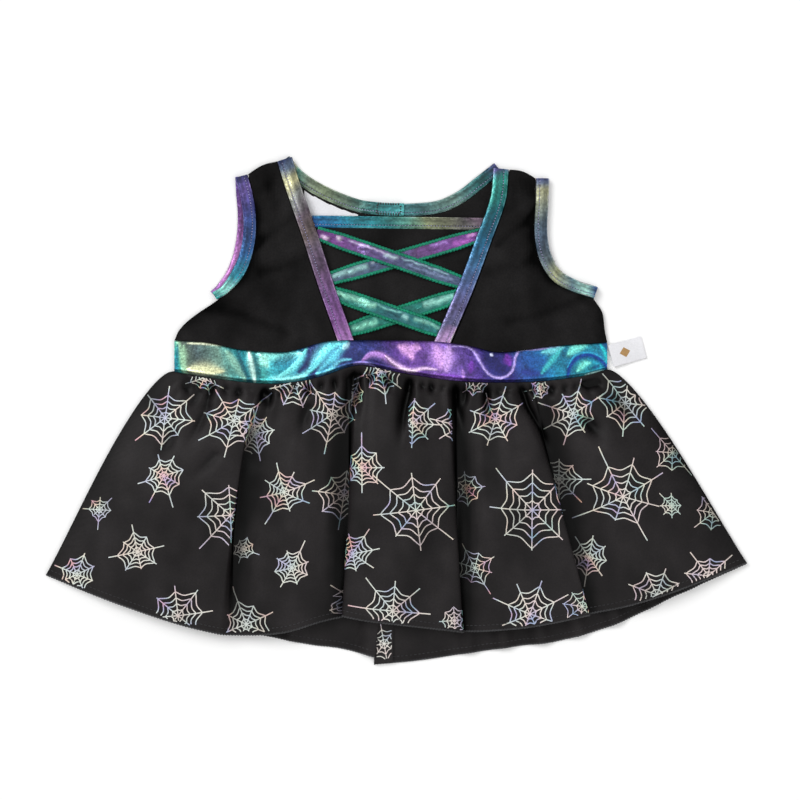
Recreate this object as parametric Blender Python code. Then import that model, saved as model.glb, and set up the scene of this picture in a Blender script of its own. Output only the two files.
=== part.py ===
"""Sleeveless witch dress for a soft toy, laid flat on its back.

X runs across the dress, Y from the hem to the shoulders and Z up from the surface that it lies on.
Sizes are in millimetres, and MM turns them into Blender's metres. Left and right are the viewer's.
Each cloth piece is a wall of even thickness round a curved middle surface. The back pieces rest on
the surface, the front pieces lie on them, and pieces that are sewn together stay SEAM apart.
"""

import math
from collections import namedtuple

import bpy
from mathutils import Vector

MM = 0.001

# Middle of the whole dress in the sizes below, which becomes the origin
MIDDLE = (-1.1, -0.67, 0.0)

# Cloth and layers
CLOTH = 1.0
BINDING = 1.6
SEAM = 0.3
BACK_Z = CLOTH / 2
BACK_BINDING_Z = BINDING / 2
FRONT_EDGE_Z = CLOTH + SEAM + CLOTH / 2
FRONT_BINDING_Z = BINDING + SEAM + BINDING / 2
OVERLAP_Z = FRONT_EDGE_Z
INSERT_Z = OVERLAP_Z + CLOTH + 0.4
LACE_STEP = CLOTH + SEAM
NECKLINE_Z = INSERT_Z + LACE_STEP + CLOTH / 2 + SEAM + BINDING / 2
SHOULDER_Z = 2.1

# Widths of the foil strips
NECKLINE_WIDTH = 6.8
NECK_WIDTH = 5.6
ARMHOLE_WIDTH = 5.6
BAND_WIDTH = 5.4
LACE_WIDTH = 6.0
FACING_WIDTH = 8.0

# A front armhole binding starts this much narrower at the underarm, over this share of its length
ARMHOLE_NARROW = {"left": 0.66, "right": 0.9}
ARMHOLE_TURN = 0.3

# Steps of the grids
ARMHOLE_STEPS = 12
SIDE_ROWS = 3
PANEL_ROWS = SIDE_ROWS + ARMHOLE_STEPS
PANEL_COLUMNS, BACK_COLUMNS = 9, 12
INSERT_COLUMNS, INSERT_ROWS = 8, 6
BAND_STEPS, LACE_STEPS = 10, 16
NECK_LEFT_STEPS, NECK_RIGHT_STEPS = 20, 16
WAISTBAND_COLUMNS, WAISTBAND_ROWS = 40, 3
BACK_WAISTBAND_COLUMNS = 16
FACING_COLUMNS, FACING_ROWS = 2, 6
SIDE_LABEL_STEPS = 5
NECK_LABEL_COLUMNS, NECK_LABEL_ROWS = 5, 4
COLLAR_READINGS = 60

# Waist seam: where it ends at the sides, how much higher the front stands at its middle than at its
# ends, and the power that this falls off by. The arch is the band's share of that rise between seams.
WAIST_LEFT, WAIST_RIGHT = -98.6, 91.4
WAIST_RISE = 5.0
WAIST_SHAPE = 2.2
WAIST_ARCH = 0.25

# Edges of the front waistband
WAIST_TOP = [(-98.6, 29.9), (-84.7, 29.0), (-68.6, 25.7), (-49.3, 24.8), (-31.2, 29.3), (0.0, 29.7),
             (16.7, 29.3), (31.2, 27.3), (43.8, 24.6), (67.3, 27.3), (91.4, 29.0)]
WAIST_BOTTOM = [(-98.6, 16.4), (-75.0, 12.8), (-55.0, 11.3), (-36.3, 13.8), (-17.6, 19.4), (0.0, 16.2),
                (25.3, 12.5), (55.4, 12.0), (80.1, 14.5), (91.4, 17.6)]
BACK_WAIST_TOP, BACK_WAIST_BOTTOM = 28.4, 17.0

# Middle lines of the bindings, from the waist or the underarm upwards
NECKLINE_LEFT = [(-23.9, 31.6), (-31.8, 53.9), (-39.2, 76.7), (-46.6, 98.0), (-50.2, 109.6)]
NECKLINE_RIGHT = [(20.0, 31.6), (29.6, 54.0), (37.2, 74.5), (43.4, 92.0), (44.8, 105.4)]
ARMHOLE_LEFT = [(-80.9, 49.6), (-76.2, 52.6), (-70.5, 60.0), (-67.2, 68.0), (-65.6, 77.0), (-65.7, 86.2),
                (-67.2, 95.0), (-69.2, 102.2)]
ARMHOLE_RIGHT = [(86.4, 51.0), (76.8, 54.2), (70.0, 57.8), (65.9, 63.0), (63.2, 70.2), (62.2, 79.0),
                 (62.8, 92.1), (63.0, 101.2)]
BACK_ARMHOLE_SHIFT = {"left": 2.9, "right": 0.0}
BACK_ARMHOLE_POWER = 0.7
NECK_LEFT = [(2.2, 87.5), (-8.0, 87.8), (-18.5, 89.5), (-33.6, 95.5), (-44.0, 102.1), (-48.2, 107.2)]
NECK_RIGHT = [(-9.2, 87.8), (4.0, 87.5), (17.6, 88.9), (27.4, 93.4), (35.0, 99.2), (41.2, 104.0)]

# Side seams of the bodice, from the waist to the underarm
SIDE_LEFT = [(-98.5, 30.2), (-96.6, 34.4), (-92.0, 39.2)]
SIDE_RIGHT = [(91.4, 29.4), (90.3, 35.0), (89.2, 42.5)]

# Front bodice, by shares of its height: where it rises onto the armhole binding's level, and where it and
# the neckline binding start to drop to the shoulder seam, which is crowned
UNDERARM_START, UNDERARM_SPAN = 0.15, 0.15
NECKLINE_DROP, SHOULDER_DROP = 0.68, 0.8
SHOULDER_CROWN = 1.2

# Back bodice: the shoulder's share of its top edge, and its corner at the neck from the binding's end
SHOULDER_SHARE = 0.22
SHOULDER_CORNER_OUT, SHOULDER_CORNER_UP = 1.0, 1.5

# Front insert and its top band
INSERT_BOTTOM, INSERT_TOP_LEFT, INSERT_TOP_RIGHT = 26.5, 79.3, 78.1
INSERT_TUCK = 3.0
BAND_LEFT, BAND_RIGHT = (-38.0, 82.2), (36.6, 81.2)

# Each lace: where its middle line starts and ends, and whether it crosses on top
Lace = namedtuple("Lace", "name start end over")
LACES = [
    Lace("lace_upper_over", (-35.0, 75.4), (27.8, 55.6), True),
    Lace("lace_upper_under", (34.2, 74.6), (-30.6, 57.2), False),
    Lace("lace_lower_over", (-28.6, 50.8), (19.6, 34.2), True),
    Lace("lace_lower_under", (26.0, 49.6), (-21.6, 34.6), False),
]
LACE_CROSSING_X, LACE_CROSSING_HALF, LACE_RAMP = -2.5, 10.8, 6.0

# Centre back: the left half lies on the right one, seen from inside. It rises over a ramp that ends a
# little before the right one's edge.
OVERLAP_LEFT_WAIST, OVERLAP_LEFT_HEM = 2.2, -10.5
OVERLAP_RIGHT_WAIST, OVERLAP_RIGHT_HEM = -9.2, -11.0
OVERLAP_RAMP, OVERLAP_LEVEL = 9.0, 1.0

# Corners of the skirt, and the hems as height over X
HEM_LEFT, HEM_RIGHT = -154.9, 152.7
FRONT_HEM = [(-154.9, -72.6), (-136.0, -80.1), (-117.0, -86.9), (-81.8, -97.4), (-60.3, -98.4),
             (-43.6, -95.9), (-24.6, -90.2), (-10.1, -93.0), (8.4, -94.5), (27.1, -97.2), (60.7, -94.4),
             (77.7, -91.1), (103.0, -85.1), (124.1, -78.3), (152.7, -67.5)]
BACK_HEM_LEFT = [(-154.9, -72.9), (-117.0, -87.3), (-81.8, -97.6), (-65.6, -98.0), (-51.7, -100.8),
                 (-37.8, -103.4), (-26.0, -104.8), (-10.0, -108.8)]
BACK_HEM_RIGHT = [(-11.0, -112.0), (8.4, -110.2), (27.1, -107.4), (53.2, -103.7), (70.0, -101.6),
                  (94.6, -94.4), (119.7, -82.6), (152.7, -67.8)]
SIDE_PUFF = 18.0
PUFF_RISE, PUFF_FALL = 0.4, 1.3

# Front skirt: one row for each line that runs from the waist to the hem. tuck moves the line sideways
# as it falls, and mid_z and hem_z are the cloth's height on the way down and at the hem. One gather lies
# between two rows.
Line = namedtuple("Line", "name waist_x hem_x tuck mid_z hem_z")
SKIRT_LINES = [
    Line("side_left", -98.6, -154.9, 0.0, 1.8, 1.8),
    Line("left_slope", -90.0, -138.2, 0.0, 5.6, 4.8),
    Line("left_rise", -81.4, -118.4, 0.0, 8.2, 7.2),
    Line("left_crest", -72.0, -97.0, 0.0, 9.4, 8.6),
    Line("left_lip", -60.6, -79.4, 0.0, 8.6, 7.6),
    Line("left_valley", -55.4, -70.4, -6.5, 4.2, 5.4),
    Line("second_rise", -49.2, -60.3, 0.0, 7.2, 7.0),
    Line("second_crest", -41.4, -48.0, 0.0, 9.0, 8.6),
    Line("second_slope", -31.2, -34.0, 0.0, 7.0, 7.0),
    Line("second_valley", -23.0, -22.4, 1.0, 4.4, 4.4),
    Line("centre_lip_left", -17.0, -24.6, 0.0, 8.6, 8.0),
    Line("centre_rise", -8.5, -13.6, 0.0, 11.0, 9.8),
    Line("centre_crest", 1.0, 0.5, 0.0, 12.0, 10.6),
    Line("centre_slope", 11.0, 14.5, 0.0, 11.0, 9.8),
    Line("centre_lip_right", 20.0, 27.7, 0.0, 8.6, 8.0),
    Line("third_valley", 26.5, 25.5, -1.0, 4.4, 4.4),
    Line("third_rise", 34.4, 37.8, 0.0, 7.6, 7.2),
    Line("third_crest", 44.4, 57.6, 0.0, 10.2, 9.2),
    Line("third_lip", 52.0, 82.8, 0.0, 8.8, 7.8),
    Line("right_valley", 58.6, 84.0, -3.6, 4.2, 4.8),
    Line("right_rise", 68.6, 98.0, 0.0, 7.2, 6.6),
    Line("right_crest", 77.0, 115.7, 0.0, 8.6, 7.4),
    Line("right_slope", 84.6, 136.0, 0.0, 5.4, 4.6),
    Line("side_right", 91.4, 152.7, 0.0, 1.8, 1.8),
]
STEPS_PER_LINE = 5
FRONT_ROWS = 10
FRONT_ROW_POWER = 1.35
MID_SHARE = 0.4
TUCK_IN, TUCK_HOLD, TUCK_LOSS = 0.3, 0.55, 0.6
GATHER_DEPTH = 2.4
GATHER_START, GATHER_SWELL = 0.3, 0.08
GATHER_LENGTH = 0.2
GATHER_SIDES = 1.5

# Back skirt: flat on the surface, with channels that rise off it. They reach their full height this far
# down, and start and end over shares of the width between the side seam and the centre.
BACK_GATHERS = 10
BACK_STEPS = 4
BACK_ROWS = 6
BACK_ROW_POWER = 1.2
BACK_CHANNEL_WAIST, BACK_CHANNEL_HEM = 1.0, 2.0
BACK_CHANNEL_GROWTH = 0.4
BACK_CHANNEL_POWER = 1.5
BACK_SIDE_FLAT, BACK_SIDE_RAMP = 0.08, 0.1
BACK_CENTRE_FLAT, BACK_CENTRE_RAMP = 0.8, 0.08

# Labels: the side label sinks to the surface over a share of its length, and the neck label's top edge
# follows the back neck binding, read a little further along
SIDE_LABEL = [(93.1, 23.3), (107.6, 27.3)]
SIDE_LABEL_WIDTH = 9.8
SIDE_LABEL_LIFT = 0.2
SIDE_LABEL_DROP = 0.8
NECK_LABEL_LEFT, NECK_LABEL_RIGHT, NECK_LABEL_BOTTOM = -41.6, -21.5, 74.0
NECK_LABEL_LEAN = 1.6

BLACK_CLOTH = ("black_cloth", (0.012, 0.011, 0.013), 0.75, 0.0)
PRINTED_SATIN = ("printed_satin", (0.016, 0.014, 0.017), 0.42, 0.0)
FOIL_BAND = ("foil_band", (0.22, 0.30, 0.62), 0.25, 0.85)
FOIL_BINDING = ("foil_binding", (0.16, 0.38, 0.46), 0.28, 0.85)
FOIL_LACE = ("foil_lace", (0.30, 0.34, 0.52), 0.28, 0.85)
WHITE_LABEL = ("white_label", (0.82, 0.82, 0.84), 0.6, 0.0)


def hermite(stations, values, at):
    """The value at a station on a smooth curve through the listed ones."""
    last = len(stations) - 1
    i = 0
    while i < last - 1 and at > stations[i + 1]:
        i += 1
    slopes = []
    for k in (i, i + 1):
        before, after = max(k - 1, 0), min(k + 1, last)
        slopes.append((values[after] - values[before]) / (stations[after] - stations[before]))
    span = stations[i + 1] - stations[i]
    t = (at - stations[i]) / span
    start = (2 * t**3 - 3 * t**2 + 1) * values[i] + (t**3 - 2 * t**2 + t) * span * slopes[0]
    end = (3 * t**2 - 2 * t**3) * values[i + 1] + (t**3 - t**2) * span * slopes[1]
    return start + end


def height_over(table, x):
    """Y at x on the smooth edge through a table of (x, y)."""
    return hermite([row[0] for row in table], [row[1] for row in table], x)


def ease(t):
    """0 to 1 with soft ends."""
    t = min(max(t, 0.0), 1.0)
    return t * t * (3 - 2 * t)


def mix(a, b, t):
    return a + (b - a) * t


class Path:
    """A smooth line in plan through knots, read by the share of its length."""

    def __init__(self, knots):
        self.knots = [Vector(knot) for knot in knots]
        self.stations = [0.0]
        for a, b in zip(self.knots, self.knots[1:]):
            self.stations.append(self.stations[-1] + (b - a).length)
        self.length = self.stations[-1]

    def at(self, share):
        where = share * self.length
        return Vector(hermite(self.stations, [knot[axis] for knot in self.knots], where) for axis in (0, 1))

    def beside(self, share, distance):
        """The point that lies distance to the left of the line."""
        step = 0.004
        ahead = (self.at(min(share + step, 1.0)) - self.at(max(share - step, 0.0))).normalized()
        return self.at(share) + Vector((-ahead.y, ahead.x)) * distance


def material(look):
    """The Principled material of a (name, colour, roughness, metallic) look, made once."""
    name, colour, roughness, metallic = look
    made = bpy.data.materials.get(name)
    if made is None:
        made = bpy.data.materials.new(name)
        made.use_nodes = True
        shader = made.node_tree.nodes["Principled BSDF"]
        shader.inputs["Base Color"].default_value = (*colour, 1.0)
        shader.inputs["Roughness"].default_value = roughness
        shader.inputs["Metallic"].default_value = metallic
    return made


def cloth(name, grid, look, thickness=CLOTH):
    """A wall of cloth round the middle surface that the grid of (x, y, z) points gives."""
    rows, columns = len(grid), len(grid[0])
    points = [Vector(point) * MM for row in grid for point in row]
    faces = []
    for j in range(rows - 1):
        for i in range(columns - 1):
            corner = j * columns + i
            faces.append((corner, corner + 1, corner + columns + 1, corner + columns))
    mesh = bpy.data.meshes.new(name)
    mesh.from_pydata(points, [], faces)
    mesh.shade_smooth()
    mesh.materials.append(material(look))
    piece = bpy.data.objects.new(name, mesh)
    piece.location = -Vector(MIDDLE) * MM
    bpy.context.scene.collection.objects.link(piece)
    wall = piece.modifiers.new("wall", "SOLIDIFY")
    wall.thickness = thickness * MM
    wall.offset = 0.0
    return piece


def patch(bottom, top, left, right, height, across, up):
    """Grid of points between four edges, each a function of a share; height gives z over both shares."""
    start, end = (left(0), right(0)), (left(1), right(1))
    grid = []
    for j in range(up + 1):
        t = j / up
        row = []
        for i in range(across + 1):
            s = i / across
            point = bottom(s) * (1 - t) + top(s) * t + left(t) * (1 - s) + right(t) * s
            point -= (start[0] * (1 - s) + start[1] * s) * (1 - t)
            point -= (end[0] * (1 - s) + end[1] * s) * t
            row.append((point.x, point.y, height(s, t)))
        grid.append(row)
    return grid


def down_to_waist(path, point, share):
    """The point, moved down the path so that a neckline binding ends along the waistband's top."""
    gap = point.y - height_over(WAIST_TOP, point.x) - SEAM
    down = (path.at(0) - path.at(1 / PANEL_ROWS)).normalized()
    return point - down * (gap / down.y) * max(0.0, 1 - share * PANEL_ROWS)


def strip(name, path, width, height, look, steps, thickness=BINDING, across=2, ends_at_waist=False):
    """A folded tape along a path; width and height are functions of the share of its length."""
    grid = []
    for k in range(across + 1):
        aside = k / across - 0.5
        row = []
        for i in range(steps + 1):
            share = i / steps
            point = path.beside(share, aside * width(share))
            if ends_at_waist:
                point = down_to_waist(path, point, share)
            row.append((point.x, point.y, height(share)))
        grid.append(row)
    return cloth(name, grid, look, thickness)


def waist_height(x):
    """Middle height of the front cloth along the waist, from side seam to side seam."""
    centre, half = (WAIST_LEFT + WAIST_RIGHT) / 2, (WAIST_RIGHT - WAIST_LEFT) / 2
    return FRONT_EDGE_Z + WAIST_RISE * (1 - min(abs(x - centre) / half, 1.0) ** WAIST_SHAPE)


def neckline_height(share):
    """Height of the front neckline strips, which drop to the shoulder seam."""
    return mix(NECKLINE_Z, FRONT_BINDING_Z, ease((share - NECKLINE_DROP) / (1 - NECKLINE_DROP)))


def overlap_lift(x, edge, lift):
    """How far the left back half rises to lie on the right half, whose edge is at x = edge."""
    start = edge - SEAM - OVERLAP_RAMP
    return lift * ease((x - start) / (OVERLAP_RAMP - OVERLAP_LEVEL))


def armhole_width(side):
    """Width of a front armhole binding by the share of its length: it turns edge-on at the underarm."""
    return lambda share: ARMHOLE_WIDTH * mix(ARMHOLE_NARROW[side], 1.0, ease(share / ARMHOLE_TURN))


def outer_edge(side_seam, arm, width, turn):
    """Outer edge of a bodice piece, row by row: up the side seam, then along the armhole binding."""

    def along(share):
        return arm.beside(share, -turn * (width(share) / 2 + SEAM))

    seam = Path(side_seam + [tuple(along(0.0))])

    def at(t):
        row = t * PANEL_ROWS
        if row <= SIDE_ROWS:
            return seam.at(row / SIDE_ROWS)
        return along(min((row - SIDE_ROWS) / ARMHOLE_STEPS, 1.0))

    return at


def front_side_panel(side, seam, armhole, neckline, turn):
    """Front bodice beside the insert; turn is 1 on the viewer's left and -1 on the right."""
    neck = Path(neckline)
    outer = outer_edge(seam, Path(armhole), armhole_width(side), turn)

    def inner(t):
        return neck.beside(t, turn * (NECKLINE_WIDTH / 2 + SEAM))

    def bottom(s):
        x = mix(outer(0).x, inner(0).x, s)
        return Vector((x, height_over(WAIST_TOP, x) + SEAM))

    def height(s, t):
        edge = mix(FRONT_EDGE_Z, FRONT_BINDING_Z, ease((t - UNDERARM_START) / UNDERARM_SPAN))
        crown = mix(edge, neckline_height(t), 1 - (1 - s) ** WAIST_SHAPE)
        return mix(crown, SHOULDER_Z, ease((t - SHOULDER_DROP) / (1 - SHOULDER_DROP)))

    def top(s):
        return outer(1).lerp(inner(1), s) + Vector((0.0, SHOULDER_CROWN * math.sin(math.pi * s)))

    grid = patch(bottom, top, outer, inner, height, PANEL_COLUMNS, PANEL_ROWS)
    cloth(f"bodice_front_{side}", grid, BLACK_CLOTH)


def front_insert():
    """Black trapezoid behind the laces; its sides and foot are tucked behind the pieces round it."""
    reach = NECKLINE_WIDTH / 2 + INSERT_TUCK

    def edge(knots, top, turn):
        path = Path(knots)
        share_top = (top - knots[0][1]) / (knots[-1][1] - knots[0][1])
        return lambda t: Vector((path.beside(t * share_top, turn * reach).x, mix(INSERT_BOTTOM, top, t)))

    first = edge(NECKLINE_LEFT, INSERT_TOP_LEFT, 1)
    last = edge(NECKLINE_RIGHT, INSERT_TOP_RIGHT, -1)
    grid = patch(lambda s: first(0).lerp(last(0), s), lambda s: first(1).lerp(last(1), s),
                 first, last, lambda s, t: INSERT_Z, INSERT_COLUMNS, INSERT_ROWS)
    cloth("front_insert", grid, BLACK_CLOTH)
    band = Path([BAND_LEFT, BAND_RIGHT])
    strip("insert_top_band", band, lambda share: BAND_WIDTH, lambda share: INSERT_Z,
          FOIL_BINDING, BAND_STEPS)


def laces():
    """Four foil laces in two crosses on the insert."""
    for lace in LACES:
        path = Path([lace.start, lace.end])
        cross = (LACE_CROSSING_X - lace.start[0]) / (lace.end[0] - lace.start[0])

        def height(share, over=lace.over, length=path.length):
            beyond = abs(share - cross) * length - LACE_CROSSING_HALF
            rise = LACE_STEP * ease(1 - beyond / LACE_RAMP) if over else 0.0
            return INSERT_Z + LACE_STEP + rise

        strip(lace.name, path, lambda share: LACE_WIDTH, height, FOIL_LACE, LACE_STEPS, CLOTH, 1)


def bindings():
    """Foil bindings of the neckline, back neck and armholes."""
    for side, knots in (("left", NECKLINE_LEFT), ("right", NECKLINE_RIGHT)):
        strip(f"neckline_binding_{side}", Path(knots), lambda share: NECKLINE_WIDTH, neckline_height,
              FOIL_BINDING, PANEL_ROWS, ends_at_waist=True)
    for side, knots in (("left", ARMHOLE_LEFT), ("right", ARMHOLE_RIGHT)):
        strip(f"armhole_binding_front_{side}", Path(knots), armhole_width(side),
              lambda share: FRONT_BINDING_Z, FOIL_BINDING, ARMHOLE_STEPS)
        strip(f"armhole_binding_back_{side}", back_armhole(side, knots), lambda share: ARMHOLE_WIDTH,
              lambda share: BACK_BINDING_Z, FOIL_BINDING, ARMHOLE_STEPS)
    lift = BINDING + SEAM
    left = Path(NECK_LEFT)
    strip("neck_binding_back_left", left, lambda share: NECK_WIDTH,
          lambda share: BACK_BINDING_Z + overlap_lift(left.at(share).x, OVERLAP_RIGHT_WAIST, lift),
          FOIL_BINDING, NECK_LEFT_STEPS)
    strip("neck_binding_back_right", Path(NECK_RIGHT), lambda share: NECK_WIDTH,
          lambda share: BACK_BINDING_Z, FOIL_BINDING, NECK_RIGHT_STEPS)


def back_armhole(side, knots):
    """Middle line of the back armhole, which lies further out than the front one on the left."""
    count = len(knots) - 1
    shifts = [BACK_ARMHOLE_SHIFT[side] * math.sin(math.pi * k / count) ** BACK_ARMHOLE_POWER
              for k in range(count + 1)]
    return Path([(x - shift, y) for (x, y), shift in zip(knots, shifts)])


def back_bodice(side, seam, armhole, neck, turn, centre_x):
    """One half of the back bodice, flat on the surface up to where the left half rises on the right."""
    collar, beside_collar = Path(neck), turn * (NECK_WIDTH / 2 + 1.5 * SEAM)
    outer = outer_edge([(seam[0][0], BACK_WAIST_TOP + SEAM)] + seam[1:], back_armhole(side, armhole),
                       lambda share: ARMHOLE_WIDTH, turn)

    def inner(t):
        foot = collar.beside(0.0, beside_collar)
        return Vector((centre_x, mix(BACK_WAIST_TOP + SEAM, foot.y, t)))

    def bottom(s):
        return Vector((mix(outer(0).x, centre_x, s), BACK_WAIST_TOP + SEAM))

    def top(s):
        if s < SHOULDER_SHARE:
            corner = Vector((-turn * SHOULDER_CORNER_OUT, SHOULDER_CORNER_UP))
            return outer(1).lerp(collar.beside(1.0, beside_collar) + corner, s / SHOULDER_SHARE)
        return collar.beside(1 - (s - SHOULDER_SHARE) / (1 - SHOULDER_SHARE), beside_collar)

    grid = patch(bottom, top, outer, inner, lambda s, t: BACK_Z, BACK_COLUMNS, PANEL_ROWS)
    if turn > 0:
        lift = OVERLAP_Z - BACK_Z
        grid = [[(x, y, z + overlap_lift(x, OVERLAP_RIGHT_WAIST, lift)) for x, y, z in row] for row in grid]
    cloth(f"bodice_back_{side}", grid, BLACK_CLOTH)


def front_waistband():
    """Wide foil band, arched a little between its two seams."""
    grid = []
    for j in range(WAISTBAND_ROWS + 1):
        r = j / WAISTBAND_ROWS
        row = []
        for i in range(WAISTBAND_COLUMNS + 1):
            x = mix(WAIST_LEFT, WAIST_RIGHT, i / WAISTBAND_COLUMNS)
            y = mix(height_over(WAIST_BOTTOM, x), height_over(WAIST_TOP, x), r)
            arch = WAIST_ARCH * (waist_height(x) - FRONT_EDGE_Z) * math.sin(math.pi * r)
            row.append((x, y, waist_height(x) + arch))
        grid.append(row)
    cloth("waistband_front", grid, FOIL_BAND)


def back_waistband(name, start, end, lift):
    """One half of the back waistband."""
    grid = []
    for y in (BACK_WAIST_BOTTOM, (BACK_WAIST_BOTTOM + BACK_WAIST_TOP) / 2, BACK_WAIST_TOP):
        xs = [mix(start, end, i / BACK_WAISTBAND_COLUMNS) for i in range(BACK_WAISTBAND_COLUMNS + 1)]
        grid.append([(x, y, BACK_Z + overlap_lift(x, OVERLAP_RIGHT_WAIST, lift)) for x in xs])
    cloth(name, grid, FOIL_BAND)


def puff(x, half, v):
    """The skirt swells sideways below the waist, most at its side seams."""
    return SIDE_PUFF * v**PUFF_RISE * (1 - v) ** PUFF_FALL * (x / half) * abs(x / half)


def gather(s, v, count):
    """Depth of the gathers, one for each step of s, fading down from the waist and at the side seams."""
    ends = min(1.0, s / GATHER_SIDES, (count - s) / GATHER_SIDES)
    swell = mix(GATHER_START, 1.0, ease(v / GATHER_SWELL))
    wave = (1 + math.cos(2 * math.pi * s)) / 2
    return GATHER_DEPTH * ends * swell * math.exp(-v / GATHER_LENGTH) * wave


def front_skirt():
    """Gathered front panel: each row of the grid is a smooth section through the skirt's lines."""
    count = len(SKIRT_LINES) - 1
    half = max(abs(SKIRT_LINES[0].waist_x), abs(SKIRT_LINES[-1].waist_x))
    grid = []
    for j in range(FRONT_ROWS + 1):
        v = (j / FRONT_ROWS) ** FRONT_ROW_POWER
        tucked = ease(v / TUCK_IN) * (1 - TUCK_LOSS * ease((v - TUCK_HOLD) / (1 - TUCK_HOLD)))
        xs, ys, zs = [], [], []
        for line in SKIRT_LINES:
            waist_y = height_over(WAIST_BOTTOM, line.waist_x) - SEAM
            x = mix(line.waist_x, line.hem_x, v) + puff(line.waist_x, half, v)
            xs.append(x + line.tuck * tucked)
            ys.append(mix(waist_y, height_over(FRONT_HEM, line.hem_x), v))
            heights = [waist_height(line.waist_x), line.mid_z, line.hem_z]
            zs.append(hermite([0.0, MID_SHARE, 1.0], heights, v))
        stations = [0.0]
        for k in range(count):
            stations.append(stations[-1] + math.hypot(xs[k + 1] - xs[k], zs[k + 1] - zs[k]))
        row = []
        for i in range(count * STEPS_PER_LINE + 1):
            s = i / STEPS_PER_LINE
            k = min(int(s), count - 1)
            where = mix(stations[k], stations[k + 1], s - k)
            x, y, z = (hermite(stations, values, where) for values in (xs, ys, zs))
            row.append((x, y, max(z - gather(s, v, count), FRONT_EDGE_Z)))
        grid.append(row)
    cloth("skirt_front", grid, PRINTED_SATIN)


def back_skirt(name, side_waist, side_hem, centre_waist, centre_hem, hem, lift):
    """One half of the back skirt: it rests on the surface between channels that rise off it."""
    half = max(abs(WAIST_LEFT), abs(WAIST_RIGHT))
    columns = BACK_GATHERS * BACK_STEPS
    grid = []
    for j in range(BACK_ROWS + 1):
        v = (j / BACK_ROWS) ** BACK_ROW_POWER
        row = []
        for i in range(columns + 1):
            share = i / columns
            waist_x, hem_x = mix(side_waist, centre_waist, share), mix(side_hem, centre_hem, share)
            x = mix(waist_x, hem_x, v) + puff(waist_x, half, v)
            y = mix(BACK_WAIST_BOTTOM - SEAM, height_over(hem, hem_x), v)
            ends = ease((share - BACK_SIDE_FLAT) / BACK_SIDE_RAMP)
            ends *= ease((BACK_CENTRE_FLAT - share) / BACK_CENTRE_RAMP)
            channel = mix(BACK_CHANNEL_WAIST, BACK_CHANNEL_HEM, ease(v / BACK_CHANNEL_GROWTH))
            wave = ((1 - math.cos(2 * math.pi * share * BACK_GATHERS)) / 2) ** BACK_CHANNEL_POWER
            edge = mix(OVERLAP_RIGHT_WAIST, OVERLAP_RIGHT_HEM, v)
            row.append((x, y, BACK_Z + channel * ends * wave + overlap_lift(x, edge, lift)))
        grid.append(row)
    cloth(name, grid, PRINTED_SATIN)


def back_facing():
    """Allowance of the right back half, folded in along its centre edge, so that its print shows."""
    grid = []
    for j in range(FACING_ROWS + 1):
        v = j / FACING_ROWS
        start = mix(OVERLAP_RIGHT_WAIST, OVERLAP_RIGHT_HEM, v) + SEAM
        row = []
        for i in range(FACING_COLUMNS + 1):
            x = start + FACING_WIDTH * i / FACING_COLUMNS
            hem_y = height_over(BACK_HEM_RIGHT, max(x, BACK_HEM_RIGHT[0][0]))
            y = mix(BACK_WAIST_BOTTOM - SEAM, hem_y, v)
            row.append((x, y, OVERLAP_Z))
        grid.append(row)
    cloth("back_facing_right", grid, PRINTED_SATIN)


def labels():
    """White side label in the right seam of the waistband, and a white label inside the back neck."""
    side = Path(SIDE_LABEL)
    strip("side_label", side, lambda share: SIDE_LABEL_WIDTH,
          lambda share: mix(CLOTH + SIDE_LABEL_LIFT, BACK_Z, ease(share / SIDE_LABEL_DROP)),
          WHITE_LABEL, SIDE_LABEL_STEPS, CLOTH)
    collar = Path(NECK_LEFT)

    def under_collar(x):
        shares = [k / COLLAR_READINGS for k in range(COLLAR_READINGS + 1)]
        nearest = min(shares, key=lambda share: abs(collar.at(share).x - x))
        return collar.beside(nearest, NECK_WIDTH / 2 + 3 * SEAM)

    def top(s):
        x = mix(NECK_LABEL_LEFT, NECK_LABEL_RIGHT, s)
        return Vector((x, under_collar(x + NECK_LABEL_LEAN).y))

    def side_edge(x):
        return lambda t: Vector((x, mix(NECK_LABEL_BOTTOM, top(0 if x == NECK_LABEL_LEFT else 1).y, t)))

    grid = patch(lambda s: Vector((mix(NECK_LABEL_LEFT, NECK_LABEL_RIGHT, s), NECK_LABEL_BOTTOM)), top,
                 side_edge(NECK_LABEL_LEFT), side_edge(NECK_LABEL_RIGHT), lambda s, t: FRONT_EDGE_Z,
                 NECK_LABEL_COLUMNS, NECK_LABEL_ROWS)
    cloth("neck_label", grid, WHITE_LABEL)


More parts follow.
